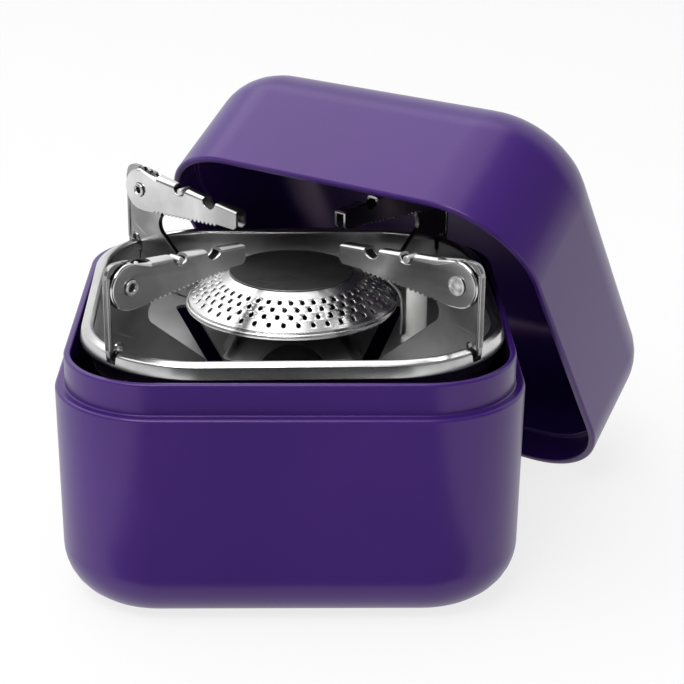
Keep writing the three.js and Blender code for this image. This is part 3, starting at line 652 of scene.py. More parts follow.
PURPLE = purple_plastic()
PAN_STEEL = sheet_steel("pan_steel", grey(214), grey(200), (0.18, 0.26), plane=2, scratch=0.1,
                        duller=("Z", PAN_FLOOR_TOP + 5, PAN_FLOOR_TOP + 1, 0.2))
PLATE_STEEL = sheet_steel("plate_steel", grey(164), grey(130), (0.18, 0.26), (0, 80, 0), scratch=0.2)
# painted shade: the arms' colour darkens towards their tips
ARM_STEEL = sheet_steel("arm_steel", grey(222), grey(196), (0.14, 0.22), (0, -5, 0), scratch=0.05,
                        darker=("X", 12 - ARM_LENGTH, 2 - ARM_LENGTH, 0.3))
STAND_STEEL = sheet_steel("stand_steel", grey(122), grey(106), (0.3, 0.4), scratch=0.1)
BRIGHT_STEEL = plain("bright_steel", "stainless", grey(228), 0.34, 1.0, 500, 0.005)
CONE_STEEL = flame_steel()
CAP_STEEL = sheet_steel("cap_steel", rgb(124, 123, 122), rgb(84, 83, 83), (0.34, 0.48), (0, 0, 30), 2, 0.12,
                        "burnt_steel")
BRASS = plain("brass", "brass", rgb(204, 168, 98), 0.3, 1.0)
ALUMINIUM = plain("aluminium", "aluminium", rgb(196, 197, 199), 0.38, 1.0)
BLACK_PLASTIC = plain("black_plastic", "black_plastic", rgb(34, 34, 36), 0.5)
RED_PLASTIC = plain("red_plastic", "red_plastic", rgb(176, 34, 28), 0.35)
RUBBER = plain("seal_rubber", "seal_rubber", grey(28), 0.75)
SLEEVE = plain("lead_sleeve", "lead_sleeve", rgb(36, 36, 37), 0.6)
CERAMIC = plain("ceramic", "insulator_ceramic", rgb(250, 250, 248), 0.25)


# -------- case
def case_base():
    inner = NECK_STEP + NECK_WALL
    profile = rounded([
        (CASE_HALF, 0, 0), (CASE_DRAFT, 0, CASE_FILLET), (0, SHOULDER, 0.7),
        (NECK_STEP, SHOULDER, 0.3), (NECK_STEP, NECK_TOP, 0.55), (inner, NECK_TOP, 0.55),
        (inner, CASE_FLOOR, CASE_FILLET - CASE_FLOOR), (CASE_HALF, CASE_FLOOR, 0),
    ], 10)[1:-1]
    shell = square_shell(CASE_HALF, CASE_CORNER, profile)
    place("case_base", shell, PURPLE, "case", kind="shell", sharp=60)


def lid_frame():
    """Matrix of the lid, with its origin in the middle of its opening and Z towards its closed end."""
    closed_end = Vector(joints["lid_off"]["axis"]).normalized()
    sideways = Vector((0, 0, 1)).cross(closed_end).normalized()
    upwards = closed_end.cross(sideways)
    basis = Matrix((sideways, upwards, closed_end)).transposed()
    local = np.array([basis.transposed() @ v.co for v in frame["nodes"]["case_lid"].data.vertices])
    middle = (local.min(0) + local.max(0)) / 2
    rim = local[:, 2].min()
    depth = (local[:, 2].max() - rim) / MM
    return Matrix.Translation(basis @ Vector((middle[0], middle[1], rim))) @ basis.to_4x4(), depth


def case_lid():
    matrix, depth = lid_frame()
    recess = NECK_STEP - LID_RECESS_GAP
    recess_depth = NECK_HEIGHT + GAP
    inner_fillet = LID_FILLET - LID_TOP_WALL - LID_DRAFT
    profile = rounded([
        (CASE_HALF, depth, 0), (LID_DRAFT, depth, LID_FILLET), (0, 0, 0.6), (recess, 0, 0.5),
        (recess, recess_depth, 0.2), (LID_WALL, recess_depth, 0.3),
        (LID_WALL, depth - LID_TOP_WALL, inner_fillet), (CASE_HALF, depth - LID_TOP_WALL, 0),
    ], 10)[1:-1]
    shell = outwards(square_shell(CASE_HALF, LID_CORNER, profile))
    shell.transform(matrix)
    place("case_lid", shell, PURPLE, "lid", kind="shell", sharp=60)


# -------- pan
def pan_wall(outside=0):
    """(Inset, height) points along the pan's wall, from its floor to its rim, inside or a sheet outside."""
    inset = PAN_WALL_INSET - outside
    floor = PAN_FLOOR_TOP - outside
    return rounded([(PAN_WALL_RUN, floor, 0), (inset, floor, PAN_BEND + outside), (inset, LIP_BOTTOM, 0)], 12)


def vent(side, low, high):
    """Cutter of the long slot on one side of the burner, side being -1 or 1."""
    rear, front = [Vector((side * end.x, end.y, 0)) for end in (VENT_REAR, VENT_FRONT)]
    run = rear - front
    angle = math.atan2(run.y, run.x) / DEGREE
    outline = arc(rear, VENT_WIDTH / 2, angle - 90, angle + 90, 12)
    outline += arc(front, VENT_WIDTH / 2, angle + 90, angle + 270, 12)
    slot = upright(outline, high - low)
    laid_flat = Matrix.Rotation(-math.pi / 2, 4, "X")
    slot.transform(Matrix.Translation((0, 0, (low + high) / 2 * MM)) @ laid_flat)
    return slot


def corner_cutters(corner, low, high):
    """Cutters of a corner's rim slot, tab slot and screw hole."""
    slot_half = PLATE_SHEET / 2 + GAP
    cutters = [
        box_mesh((LIP_INSIDE - 2, -RIM_SLOT_HALF, RIM_SLOT_BOTTOM),
                 (PLATE_OUTER + 2, RIM_SLOT_HALF, PAN_RIM_TOP + 1)),
        box_mesh((TAB_START - GAP, -slot_half, low), (TAB_START + TAB_LENGTH + GAP, slot_half, high)),
        upright_rod(SCREW_RADIUS + GAP, SCREW_SPREAD, 0, low, high, 20),
    ]
    for cutter in cutters:
        cutter.transform(Matrix.Rotation((corner + 0.5) * math.pi / 2, 4, "Z"))
    return cutters


def pan_cutters():
    low = PAN_FLOOR_TOP - PAN_SHEET - 1
    high = PAN_FLOOR_TOP + 1
    insulator = sum(turned_back("electrode_insulator"), Vector()) / 2
    earth_low, earth_high = turned_back("earth_electrode")
    earth_x = earth_high.x - EARTH_FOOT_RADIUS
    earth_y = (earth_low.y + earth_high.y) / 2
    cutters = [
        upright_rod(TUBE_RADIUS + GAP, 0, 0, low, high, 48),
        upright_rod(INSULATOR_RADIUS + GAP, insulator.x, insulator.y, low, high),
        upright_rod(EARTH_FOOT_RADIUS + GAP, earth_x, earth_y, low, high),
        vent(-1, low, high),
        vent(1, low, high),
    ]
    for corner in range(4):
        cutters += corner_cutters(corner, low, high)
    return cutters


def wind_pan():
    lip_top = PAN_RIM_TOP + LIP_RISE
    lip = rounded([
        (PAN_RIM_WIDTH, LIP_BOTTOM, 0), (0, LIP_BOTTOM, 0.35), (LIP_DRAFT, lip_top - LIP_SLOPE, 0.7),
        (LIP_WIDTH * 0.6, lip_top, 0.9), (LIP_WIDTH, lip_top - 0.5, 0.7), (LIP_WIDTH, LIP_BOTTOM, 0),
    ], 6)[1:]
    middle = PAN_HALF - 0.5
    outside = [(middle, PAN_FLOOR_TOP - PAN_SHEET), *pan_wall(PAN_SHEET)]
    inside = [(max(inset, LIP_WIDTH), z) for inset, z in pan_wall()[-2::-1]]
    profile = [*outside, *lip, *inside, (middle, PAN_FLOOR_TOP)]
    shell = square_shell(PAN_HALF, PAN_CORNER, profile, 24)
    dish = cut(shell, pan_cutters())
    place("wind_pan", dish, PAN_STEEL, matrix=STOVE_TURN, kind="dish", sharp=40, flat_faces=False)


# -------- supports
def plate_outline():
    """The support's outline: foot, tab, pan wall, hook over the rim, lobe with its stop teeth, hollow."""
    floor_line = PAN_FLOOR_TOP + GAP
    hook = RIM_SLOT_BOTTOM + GAP
    tab_bottom = PAN_FLOOR_TOP - PAN_SHEET - GAP - TAB_DROP
    tab_end = TAB_START + TAB_LENGTH
    foot = PLATE_OUTER - PLATE_REACH
    wall_gap = GAP * math.sqrt(2)
    outline = [(foot, floor_line), (TAB_START, floor_line), (TAB_START, tab_bottom)]
    outline += [(tab_end, tab_bottom), (tab_end, floor_line)]
    for inset, z in pan_wall():
        if z + 2 * wall_gap < hook:
            outline.append((PAN_HALF - inset + PAN_SHIFT - wall_gap, z + wall_gap))
    outline += [(LIP_INSIDE - 2 * wall_gap, hook), (PLATE_OUTER - 1, hook), (PLATE_OUTER, hook + 1)]
    outline += arc((PLATE_OUTER - PLATE_TOP_ROUND, PLATE_TOP - PLATE_TOP_ROUND), PLATE_TOP_ROUND, 0, 90, 8)
    outline.append((PIVOT_RADIAL + 2 * STOP_TEETH_START, PLATE_TOP))
    for i in range(STOP_TEETH):
        tooth = STOP_TEETH_START - STOP_TOOTH_PITCH * i
        level = PIVOT_HEIGHT + arm_top(max(-tooth, 0)) - 0.15
        outline.append((PIVOT_RADIAL + tooth, level))
        outline.append((PIVOT_RADIAL + tooth - STOP_TOOTH_WIDTH, level - STOP_TOOTH_DEPTH))
    outline += arc((PIVOT_RADIAL, PIVOT_HEIGHT), LOBE_RADIUS, 145, 200, 10)
    outline += arc((PIVOT_RADIAL - HOLLOW_INWARDS, PIVOT_HEIGHT - HOLLOW_DROP), HOLLOW_RADIUS, 45, -45, 14)
    outline.append((foot, floor_line + PLATE_TOE))
    return outline


def burr_mesh(x, z):
    """Raised rim round the locating hole, on the plate's +Y face."""
    burr = lathe(rounded([
        (PLATE_HOLE_RADIUS, -0.1, 0), (PLATE_HOLE_RADIUS, BURR_HEIGHT, 0.1),
        (PLATE_HOLE_RADIUS + BURR_HEIGHT, BURR_HEIGHT, 0.1), (PLATE_HOLE_RADIUS + 0.6, -0.1, 0),
    ], 3), 20)
    seat = Matrix.Translation(Vector((x, PLATE_SHEET / 2, z)) * MM)
    burr.transform(seat @ Matrix.Rotation(-math.pi / 2, 4, "X"))
    return burr


def plate_mesh():
    hole_x = PLATE_OUTER - PLATE_HOLE_INSET
    hole_z = RIM_SLOT_BOTTOM + GAP + PLATE_HOLE_HEIGHT
    holes = [
        rod_along_y(RIVET_RADIUS + GAP, PIVOT_RADIAL, PIVOT_HEIGHT, 2),
        rod_along_y(PLATE_HOLE_RADIUS, hole_x, hole_z, 2, 20),
    ]
    plate = softened(cut(upright(plate_outline(), PLATE_SHEET), holes), 0.14, 2, 40)
    hem = box_mesh((PLATE_OUTER - HEM_WIDTH, -HEM_HALF, PAN_RIM_TOP + GAP),
                   (PLATE_OUTER, HEM_HALF, PLATE_TOP - PLATE_TOP_ROUND))
    return joined([plate, burr_mesh(hole_x, hole_z), softened(outwards(hem), 0.3, 3)])


def arm_top(distance):
    return ARM_HEEL_RADIUS + (ARM_TIP_TOP - ARM_HEEL_RADIUS) * distance / ARM_LENGTH


def arm_bottom(distance):
    return -ARM_HEEL_RADIUS + (ARM_HEEL_RADIUS - ARM_TIP_DROP) * distance / ARM_LENGTH


def arm_outline():
    top_end = ARM_LENGTH - ARM_TIP_TOP_BEVEL[0]
    outline = [
        (0, ARM_HEEL_RADIUS), (-WEB_START, arm_top(WEB_START)), (-top_end, arm_top(top_end)),
        (-ARM_LENGTH, ARM_TIP_TOP - ARM_TIP_TOP_BEVEL[1]), (-ARM_LENGTH, ARM_TIP_BEVEL - ARM_TIP_DROP),
        (ARM_TIP_BEVEL - ARM_LENGTH, -ARM_TIP_DROP),
    ]
    flat = TOOTH_FLAT / 2
    for tooth in range(TEETH, 0, -1):
        root = TOOTH_START + tooth * TOOTH_PITCH
        tip = root - TOOTH_PITCH / 2
        root_level = arm_bottom(root) + TOOTH_DEPTH
        outline += [(-root - flat, root_level), (-root + flat, root_level)]
        outline += [(-tip - flat, arm_bottom(tip)), (-tip + flat, arm_bottom(tip))]
    outline.append((-TOOTH_START, arm_bottom(TOOTH_START) + TOOTH_DEPTH))
    outline.append((-TOOTH_START + TOOTH_PITCH / 2, arm_bottom(TOOTH_START)))
    return outline + arc((0, 0), ARM_HEEL_RADIUS, -90, 80, 24)


def on_side(a, b):
    """True for an edge that lies in one of the arm's two faces."""
    return abs(a.y - b.y) < 0.001


def on_fold(a, b):
    """True for the long top edges, where the arm's sheet is folded."""
    whole_length = min(a.x, b.x) < 0.5 - ARM_LENGTH and max(a.x, b.x) > -WEB_START - 0.1
    return on_side(a, b) and whole_length and a.z > 0


def on_heel(a, b):
    return on_side(a, b) and min(a.x, b.x) > -0.1


def on_notch(a, b):
    """True for the edges of a notch on the arm's outside, below the fold."""
    def at_notch(point, notch):
        return abs(math.hypot(point.x + notch, point.z - arm_top(notch)) - NOTCH_RADIUS) < 0.01

    near = any(at_notch(end, notch) for notch in NOTCHES for end in (a, b))
    outside = abs(abs(a.y) - ARM_WIDTH / 2) < 0.001
    below_fold = max(a.z, b.z) < arm_top(NOTCHES[0]) - ARM_FOLD
    return on_side(a, b) and outside and near and below_fold


def arm_mesh():
    """Pot arm with its pivot at the origin, pointing along -X."""
    blank = outwards(upright(arm_outline(), ARM_WIDTH))
    blank = bevelled(blank, on_fold, ARM_FOLD, 6)
    blank = bevelled(blank, on_heel, ARM_HEEL_ROUND, 3)
    reach = ARM_LENGTH + ARM_HEEL_RADIUS
    groove_end = WEB_START / 2
    groove = upright([
        (-reach, -reach), (-groove_end, -reach),
        (-groove_end, arm_top(groove_end) - ARM_SHEET), (-reach, arm_top(reach) - ARM_SHEET),
    ], 2 * ARM_GROOVE_HALF)
    blank = cut(blank, [groove])
    blank = cut(blank, [box_mesh((-WEB_START, -ARM_GROOVE_HALF, -reach), (reach, ARM_GROOVE_HALF, reach))])
    holes = [rod_along_y(RIVET_RADIUS + GAP, 0, 0, 3)]
    holes += [rod_along_y(NOTCH_RADIUS, -notch, arm_top(notch), 3) for notch in NOTCHES]
    blank = bevelled(cut(blank, holes), on_notch, NOTCH_ROUND, 3)
    return softened(blank, 0.06, 2, 40)


def rivet_mesh():
    """Tubular rivet along Y: a domed head towards -Y and a flared end towards +Y."""
    face = ARM_WIDTH / 2 + 0.2
    bore_end = face - 0.4
    flare = rounded([
        (RIVET_RADIUS, -face, 0), (RIVET_FLARE_RADIUS, -face, 0.1), (RIVET_FLARE_RADIUS, -face - 0.3, 0.15),
        (RIVET_BORE_RADIUS + 0.35, -face - 0.5, 0.2), (RIVET_BORE_RADIUS, -face - 0.1, 0.2),
        (RIVET_BORE_RADIUS, bore_end, 0), (0, bore_end, 0),
    ], 4)
    dome = [(0, face + RIVET_HEAD_HEIGHT)]
    dome += arc((0, face + RIVET_HEAD_HEIGHT - RIVET_DOME_RADIUS), RIVET_DOME_RADIUS, 82, 62, 5)
    dome += [(RIVET_HEAD_RADIUS, face + 0.12), (RIVET_HEAD_RADIUS, face), (RIVET_RADIUS, face)]
    mesh = lathe([*reversed(flare), *reversed(dome)], 40)
    mesh.transform(Matrix.Rotation(math.pi / 2, 4, "X"))
    return outwards(mesh)


def pin_mesh():
    """Cross pin along Y, lying in the bottom of the notch next to the pivot."""
    half = ARM_WIDTH / 2
    profile = rounded([(0, -half, 0), (PIN_RADIUS, -half, 0.2), (PIN_RADIUS, half, 0.2), (0, half, 0)], 3)
    mesh = outwards(lathe(profile, 32))
    mesh.transform(Matrix.Rotation(math.pi / 2, 4, "X"))
    height = arm_top(NOTCHES[0]) - NOTCH_RADIUS + PIN_RADIUS + 0.05
    mesh.transform(Matrix.Translation(Vector((-NOTCHES[0], 0, height)) * MM))
    return mesh


def supports():
    plate, arm, rivet, pin = plate_mesh(), arm_mesh(), rivet_mesh(), pin_mesh()
    to_pivot = Matrix.Translation(Vector((PIVOT_RADIAL, 0, PIVOT_HEIGHT)) * MM)
    for corner in CORNERS:
        where = joint_place(f"arm_{corner}_fold")
        turn = Matrix.Rotation(math.atan2(where.y, where.x), 4, "Z")
        pivot_turn = turn @ to_pivot
        place(f"support_plate_{corner}", plate.copy(), PLATE_STEEL, matrix=turn)
        place(f"pot_arm_{corner}", arm.copy(), ARM_STEEL, f"arm_{corner}", pivot_turn)
        place(f"cross_pin_{corner}", pin.copy(), BRIGHT_STEEL, f"arm_{corner}", pivot_turn)
        place(f"pivot_rivet_{corner}", rivet.copy(), BRIGHT_STEEL, matrix=pivot_turn)


# -------- burner
CONE_FOOT_RADIUS = cone_high.x - 0.25
CONE_BOTTOM = cone_low.z + CONE_BEAD_LIFT
CONE_FOOT = CONE_BOTTOM + BEAD_HEIGHT


def cone_point(share, angle, pressed):
    """Point of the cone's sheet, from its share of the way up, its angle and how far it is pressed in."""
    top_radius = CONE_TOP_RADIUS + CONE_TOP_ROUND
    radius = CONE_FOOT_RADIUS + (top_radius - CONE_FOOT_RADIUS) * share - pressed * CONE_INWARDS[0]
    bulge = CONE_BULGE * math.sin(math.pi * share)
    z = CONE_FOOT + (cone_high.z - 0.3 - CONE_FOOT) * share + bulge - pressed * CONE_INWARDS[1]
    return radius * math.cos(angle), radius * math.sin(angle), z


def plain_cell(low, high, start, width):
    """Faces of a stretch of the cone's sheet with no hole in it."""
    angles = [start + width * k / CELL_STRIPS for k in range(CELL_STRIPS + 1)]
    return [[(low, a, 0), (low, b, 0), (high, b, 0), (high, a, 0)] for a, b in zip(angles, angles[1:])]


def holed_cell(low, high, start, width):
    """Faces from the edge of a cell of the cone's sheet to the dished rim of its oval hole."""
    middle = (low + high) / 2
    centre = start + width / 2
    slope = math.hypot(CONE_FOOT_RADIUS - CONE_TOP_RADIUS, cone_high.z - CONE_FOOT)
    radius = CONE_FOOT_RADIUS + (CONE_TOP_RADIUS - CONE_FOOT_RADIUS) * middle
    strips = [width * k / CELL_STRIPS for k in range(CELL_STRIPS + 1)]
    edge = [(low, start + along, 0) for along in strips] + [(middle, start + width, 0)]
    edge += [(high, start + along, 0) for along in reversed(strips)] + [(middle, start, 0)]

    def oval(grown, pressed):
        points = []
        for share, angle, _ in edge:
            turn = math.atan2((share - middle) * slope, (angle - centre) * radius)
            points.append((middle + (FLAME_HOLE_HALF_HEIGHT + grown) * math.sin(turn) / slope,
                           centre + (FLAME_HOLE_HALF_WIDTH + grown) * math.cos(turn) / radius, pressed))
        return points

    loops = [edge, oval(FLAME_HOLE_DISH, 0), oval(0, FLAME_HOLE_DISH)]
    faces = []
    for outer, inner in zip(loops, loops[1:]):
        for k in range(len(edge)):
            after = (k + 1) % len(edge)
            faces.append([outer[k], outer[after], inner[after], inner[k]])
    return faces


def cone_sheet():
    """The cone's sheet with its rows of staggered holes, and a plain band below and above them."""
    width = 2 * math.pi / FLAME_HOLES
    lowest = FLAME_ROWS_TOP - FLAME_ROWS * FLAME_ROW_PITCH
    levels = [CONE_FOOT_SHARE, *[lowest + FLAME_ROW_PITCH * i for i in range(FLAME_ROWS + 1)], 1.0]
    cells = []
    for row, (low, high) in enumerate(zip(levels, levels[1:])):
        cell = holed_cell if 1 <= row <= FLAME_ROWS else plain_cell
        stagger = 0.5 if row % 2 else 0
        for i in range(FLAME_HOLES):
            cells += cell(low, high, (i + stagger) * width, width)
    points = [cone_point(*corner) for face in cells for corner in face]
    sheet = mesh_from(points, [tuple(range(i, i + 4)) for i in range(0, len(points), 4)])
    with editing(sheet) as work:
        bmesh.ops.remove_doubles(work, verts=work.verts, dist=2e-6)
        bmesh.ops.recalc_face_normals(work, faces=work.faces)
        if sum(face.normal.z for face in work.faces) < 0:
            bmesh.ops.reverse_faces(work, faces=work.faces)
    return with_modifiers(sheet, ("SOLIDIFY", {"thickness": CONE_SHEET * MM, "offset": -1}))


def cone():
    """The flame cone: its sheet, with a rolled bead round the foot and a rounded shoulder."""
    outer = cone_high.x
    inner = outer - BEAD_WIDTH
    bead_top = CONE_BOTTOM + BEAD_HEIGHT
    bead = lathe(rounded([
        (inner, CONE_BOTTOM + 0.4, 0), (outer - 0.9, CONE_BOTTOM, 0.2), (outer, CONE_BOTTOM, 0.5),
        (outer, bead_top, 0.5), (outer - 0.85, bead_top - 0.15, 0.15), (outer - 0.95, bead_top + 0.25, 0),
        (inner, bead_top, 0),
    ], 5), 128)
    top, radius = cone_high.z, CONE_TOP_RADIUS
    shoulder = lathe(rounded([
        (radius + 0.1, top - 0.62, 0), (radius + 0.47, top - 0.3, 0), (radius, top, 0.35),
        (radius - 0.6, top, 0.15), (radius - 0.6, top - 0.6, 0),
    ], 6), 128)
    place("burner_cone", joined([cone_sheet(), bead, shoulder]), CONE_STEEL, sharp=50)


def cap():
    low, high = turned_back("burner_cap")
    edge = high.z - 0.2
    top = high.z + CAP_LIFT
    profile = rounded([
        (0, top, 0), (CAP_RADIUS, top, 0.25), (CAP_RADIUS, edge, 0.1),
        (high.x, edge, 0), (high.x, low.z, 0), (0, low.z, 0),
    ], 5)
    place("burner_cap", outwards(lathe(profile, 128)), CAP_STEEL)


def cup():
    low, high = turned_back("burner_cup")
    edge = cone_high.x - CUP_LIP_INSET
    lip = high.z + CUP_LIP_RISE
    bore = TUBE_RADIUS + GAP
    inside = low.z + CUP_SHEET
    profile = rounded([
        (bore, low.z, 0), (CONE_TOP_RADIUS, low.z, 2), (edge, lip - 0.6, 0.5), (edge, lip, 0.1),
        (edge - 0.5, lip, 0.1), (CONE_TOP_RADIUS, inside, 2), (bore, inside, 0),
    ], 5)
    place("burner_cup", outwards(lathe(profile, 96)), CAP_STEEL)


def tapered_block(foot, top):
    """Block with rounded corners between two levels, each (half length, half depth, radius, height)."""
    points = []
    for half_x, half_y, radius, z in (foot, top):
        corners = [(-half_x, -half_y), (half_x, -half_y), (half_x, half_y), (-half_x, half_y)]
        outline = rounded([(*corner, radius) for corner in corners], 6, True)
        points += [(x, y, z) for x, y in outline]
    count = len(points) // 2
    sides = [(i, (i + 1) % count, count + (i + 1) % count, count + i) for i in range(count)]
    ends = [tuple(range(count))[::-1], tuple(range(count, 2 * count))]
    return mesh_from(points, sides + ends)


def pedestal():
    """Pressed steel stand under the burner, with an arch through each pair of sides."""
    low, high = turned_back("burner_pedestal")
    foot_x = high.x
    foot_y = high.x + PEDESTAL_SPREAD
    top, sheet, corner = PEDESTAL_TOP_HALF, PEDESTAL_SHEET, PEDESTAL_CORNER
    outside = tapered_block((foot_x, foot_y, corner, low.z), (top, top, corner, high.z))
    inside = tapered_block((foot_x - sheet, foot_y - sheet, corner, low.z - 1),
                           (top - sheet, top - sheet, corner, high.z - sheet))
    reach = foot_y + 2
    centre = low.z - ARCH_SUNK
    holes = crossed_rods(ARCH_RADIUS, centre, reach, 64)
    holes.append(upright_rod(TUBE_RADIUS + GAP, 0, 0, low.z, high.z + 1, 48))
    shell = cut(cut(outside, [inside]), holes)
    place("burner_pedestal", softened(shell, 0.25, 2, 40), STAND_STEEL, matrix=STOVE_TURN)


def stem(top, bottom):
    """Turned stem inside the mixing tube, waisted between its head and its foot."""
    neck_bottom = bottom + 1.3
    foot_top = bottom + 1.1
    profile = rounded([
        (0, top, 0), (STEM_HEAD_RADIUS, top, 0), (STEM_HEAD_RADIUS, top - 1, 0.1),
        (STEM_NECK_RADIUS, top - 1.2, 0.1), (STEM_NECK_RADIUS, neck_bottom, 0.1),
        (STEM_FOOT_RADIUS, foot_top, 0.1), (STEM_FOOT_RADIUS, bottom + 0.4, 0.1),
        (STEM_TIP_RADIUS, bottom, 0.1), (0, bottom, 0),
    ], 3)
    return lathe(profile, 32)


def mixing_tube():
    """The gas tube, with windows over the pan that show the burner's stem."""
    tube = cad_shape("mixing_tube")
    tube.transform(STOVE_TURN.inverted())
    low, high = turned_back("burner_pedestal")
    middle = (low.z + high.z) / 2 - 0.2
    windows = crossed_rods(WINDOW_RADIUS, middle, TUBE_RADIUS + 1.4, 32)
    body = joined([softened(cut(tube, windows), 0.12, 2, 40), stem(high.z, low.z - STEM_DROP)])
    place("mixing_tube", body, ALUMINIUM, matrix=STOVE_TURN)


def burner():
    cone()
    cap()
    cup()
    pedestal()
    mixing_tube()
    refined("gas_jet", BRASS, 0.1)
    for i in range(1, 5):
        refined(f"pan_screw_{i}", BRIGHT_STEEL, 0.15)


# -------- valve, connector and igniter
def wire(node, points, radius):
    """Bent round wire through points given in the stove's own axes."""
    curve = bpy.data.curves.new(node, "CURVE")
    curve.dimensions = "3D"
    curve.bevel_depth = radius * MM
    curve.bevel_resolution = 4
    curve.use_fill_caps = True
    spline = curve.splines.new("BEZIER")
    spline.bezier_points.add(len(points) - 1)
    for knot, point in zip(spline.bezier_points, points):
        knot.co = Vector(point) * MM
        knot.handle_left_type = "AUTO"
        knot.handle_right_type = "AUTO"
    place(node, final_mesh(added(node, curve)), BRIGHT_STEEL, matrix=STOVE_TURN, sharp=50)


def electrodes():
    """The earth wire bends over the cone from beside it, and the spark wire comes out of its ceramic."""
    low, high = turned_back("earth_electrode")
    foot = high.x - EARTH_FOOT_RADIUS - 0.5
    y = (low.y + high.y) / 2
    bend = [(0, 0), (0.3, 2.2), (1.9, 4.4), (4.2, 6.2)]
    earth = [(foot - inwards, y, CONE_BOTTOM + up) for inwards, up in bend]
    wire("earth_electrode", [(foot, y, low.z), *earth, (low.x, y, high.z - 0.6)], EARTH_WIRE_RADIUS)
    low, high = turned_back("spark_electrode")
    post, tip = high.x - 0.6, low.x + 0.4
    y = (low.y + high.y) / 2
    wire("spark_electrode", [
        (post, y, low.z), (post, y, high.z - 2.5), (post - 0.7, y, high.z - 0.8),
        (post - 2.6, y, high.z - 0.5), (tip + 1.5, y, high.z - 0.9), (tip, y, high.z - 1.6),
    ], SPARK_WIRE_RADIUS)


def fittings():
    electrodes()
    refined("valve_body", ALUMINIUM, 0.4)
    refined("gland_nut", BRASS, 0.2)
    refined("valve_spindle", BRASS, 0.15, body="spindle")
    refined("flame_handle", BRIGHT_STEEL, 0, 60, "handle")
    refined("connector_collar", BRASS, 0.3)
    refined("connector_seal", RUBBER, 0.1)
    refined("valve_depressor", BRASS, 0.1)
    refined("igniter_bracket", PLATE_STEEL, 0.1)
    refined("igniter_body", BLACK_PLASTIC, 0.5)
    refined("igniter_button", RED_PLASTIC, 0.5, body="button")
    refined("electrode_insulator", CERAMIC, 0.1)
    refined("ignition_lead", SLEEVE, 0, 60)


# -------- studio, in metres
STAGE_SIDE = 8
STAGE_BACK = 1.2
STAGE_TOP = 3
CARD_FRONT = -0.6
LIT_POINT = (0, 0, 0.05)


def studio_material(name, share):
    """Matt pale surface that the camera, metal and glass see partly at full white."""
    nodes = Nodes(name)
    nodes.tree.nodes.clear()
    path = nodes.add("ShaderNodeLightPath")
    seen = nodes.highest([path[f"Is {kind} Ray"] for kind in ("Camera", "Glossy", "Transmission")])
    matt = nodes.add("ShaderNodeBsdfDiffuse", {"Color": (0.9, 0.9, 0.9, 1)})[0]
    white = nodes.add("ShaderNodeEmission")[0]
    part = nodes.times(seen, share)
    mixed = nodes.add("ShaderNodeMixShader", {0: part, 1: matt, 2: white})[0]
    nodes.add("ShaderNodeOutputMaterial", {0: mixed})
    return nodes.material


def glow_only(name, brightness):
    """Material of a reflector card, which shows in reflections at its own brightness."""
    nodes = Nodes(name)
    nodes.tree.nodes.clear()
    glow = nodes.add("ShaderNodeEmission", {"Color": (brightness, brightness, brightness, 1)})[0]
    nodes.add("ShaderNodeOutputMaterial", {0: glow})
    return nodes.material


def lying(side, front, back, z=0):
    """Corners of a level rectangle, as far to the left as to the right."""
    return [(-side, front, z), (side, front, z), (side, back, z), (-side, back, z)]


def standing(side, y, top):
    """Corners of an upright rectangle that stands on the floor."""
    return [(-side, y, 0), (side, y, 0), (side, y, top), (-side, y, top)]


def stage_plane(name, corners, material):
    mesh = bpy.data.meshes.new(name)
    mesh.from_pydata(corners, [], [(0, 1, 2, 3)])
    mesh.materials.append(material)
    plane = added(name, mesh)
    return plane


def reflector(name, corners, brightness):
    """Card that only reflections see: it neither shows, lights nor shades anything."""
    card = stage_plane(name, corners, glow_only(name, brightness))
    card.visible_camera = False
    card.visible_diffuse = False
    card.visible_transmission = False
    card.visible_shadow = False


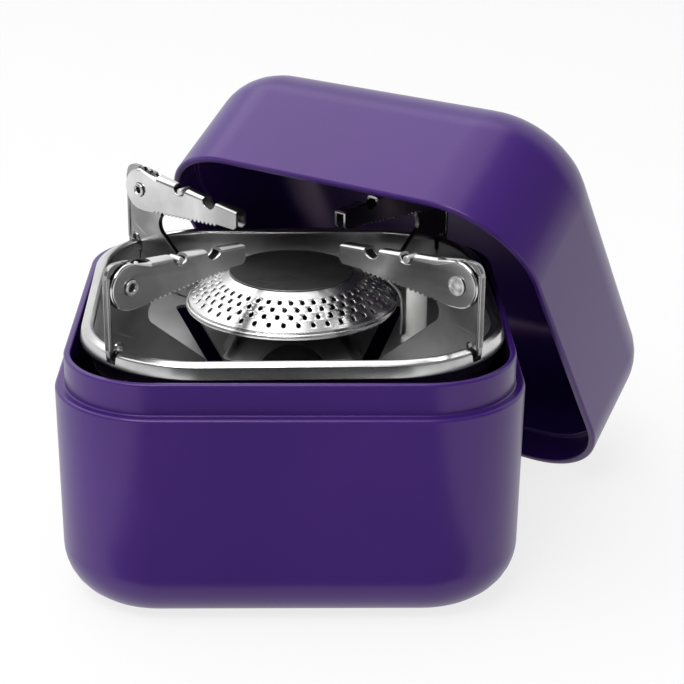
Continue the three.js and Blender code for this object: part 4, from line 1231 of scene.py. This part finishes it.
def lamp(name, spot, size, power, mirrored=True):
    """Soft lamp at a spot, turned towards the stove. Reflections show it if it is mirrored."""
    light = bpy.data.lights.new(name, "AREA")
    light.shape = "RECTANGLE"
    light.size, light.size_y = size
    light.energy = power
    lit = added(name, light)
    lit.location = spot
    lit.visible_glossy = mirrored
    lit.rotation_euler = (Vector(LIT_POINT) - Vector(spot)).to_track_quat("-Z", "Y").to_euler()


def studio():
    stage_plane("floor", lying(STAGE_SIDE, -STAGE_SIDE, STAGE_BACK), studio_material("floor", 0.8))
    stage_plane("backdrop", standing(STAGE_SIDE, STAGE_BACK, STAGE_TOP), studio_material("backdrop", 1.0))
    reflector("dark_strip", lying(0.062, CARD_FRONT, -0.056, 0.0005), 0.06)
    reflector("dark_card", standing(0.3, CARD_FRONT, 0.6), 0.04)
    lamp("overhead", (-0.35, 0.15, 1.0), (1.4, 1.2), 8)
    lamp("key", (-0.25, -0.6, 0.95), (0.6, 0.4), 5.8)
    lamp("left", (-0.9, -0.25, 0.45), (0.8, 0.8), 2.4, mirrored=False)
    world = bpy.data.worlds.new("studio")
    bpy.context.scene.world = world
    world.use_nodes = True
    world.node_tree.nodes["Background"].inputs["Color"].default_value = (0.26, 0.26, 0.26, 1)


def camera():
    """Camera in front of the stove, looking down at it and rolled a little."""
    distance = 0.39893
    elevation = 21.3 * DEGREE
    azimuth = -1.72 * DEGREE
    roll = 0.7 * DEGREE
    target = Vector((0.01297, 0, 0.0447))
    level = math.cos(elevation)
    back = Vector((math.sin(azimuth) * level, -math.cos(azimuth) * level, math.sin(elevation)))
    right = (-back).cross(Vector((0, 0, 1))).normalized()
    up = right.cross(-back)
    tilted_right = right * math.cos(roll) + up * math.sin(roll)
    tilted_up = up * math.cos(roll) - right * math.sin(roll)
    view = bpy.data.cameras.new("camera")
    view.lens = 97.09
    view.sensor_width = 36
    view.shift_x = -0.014
    view.shift_y = -0.0086
    view.clip_start = 0.01
    eye = added("camera", view)
    turn = Matrix((tilted_right, tilted_up, back)).transposed().to_4x4()
    eye.matrix_world = Matrix.Translation(target + back * distance) @ turn
    bpy.context.scene.camera = eye


camera()
case_base()
case_lid()
wind_pan()
supports()
burner()
fittings()
studio()
bpy.context.scene.view_settings.view_transform = "Standard"
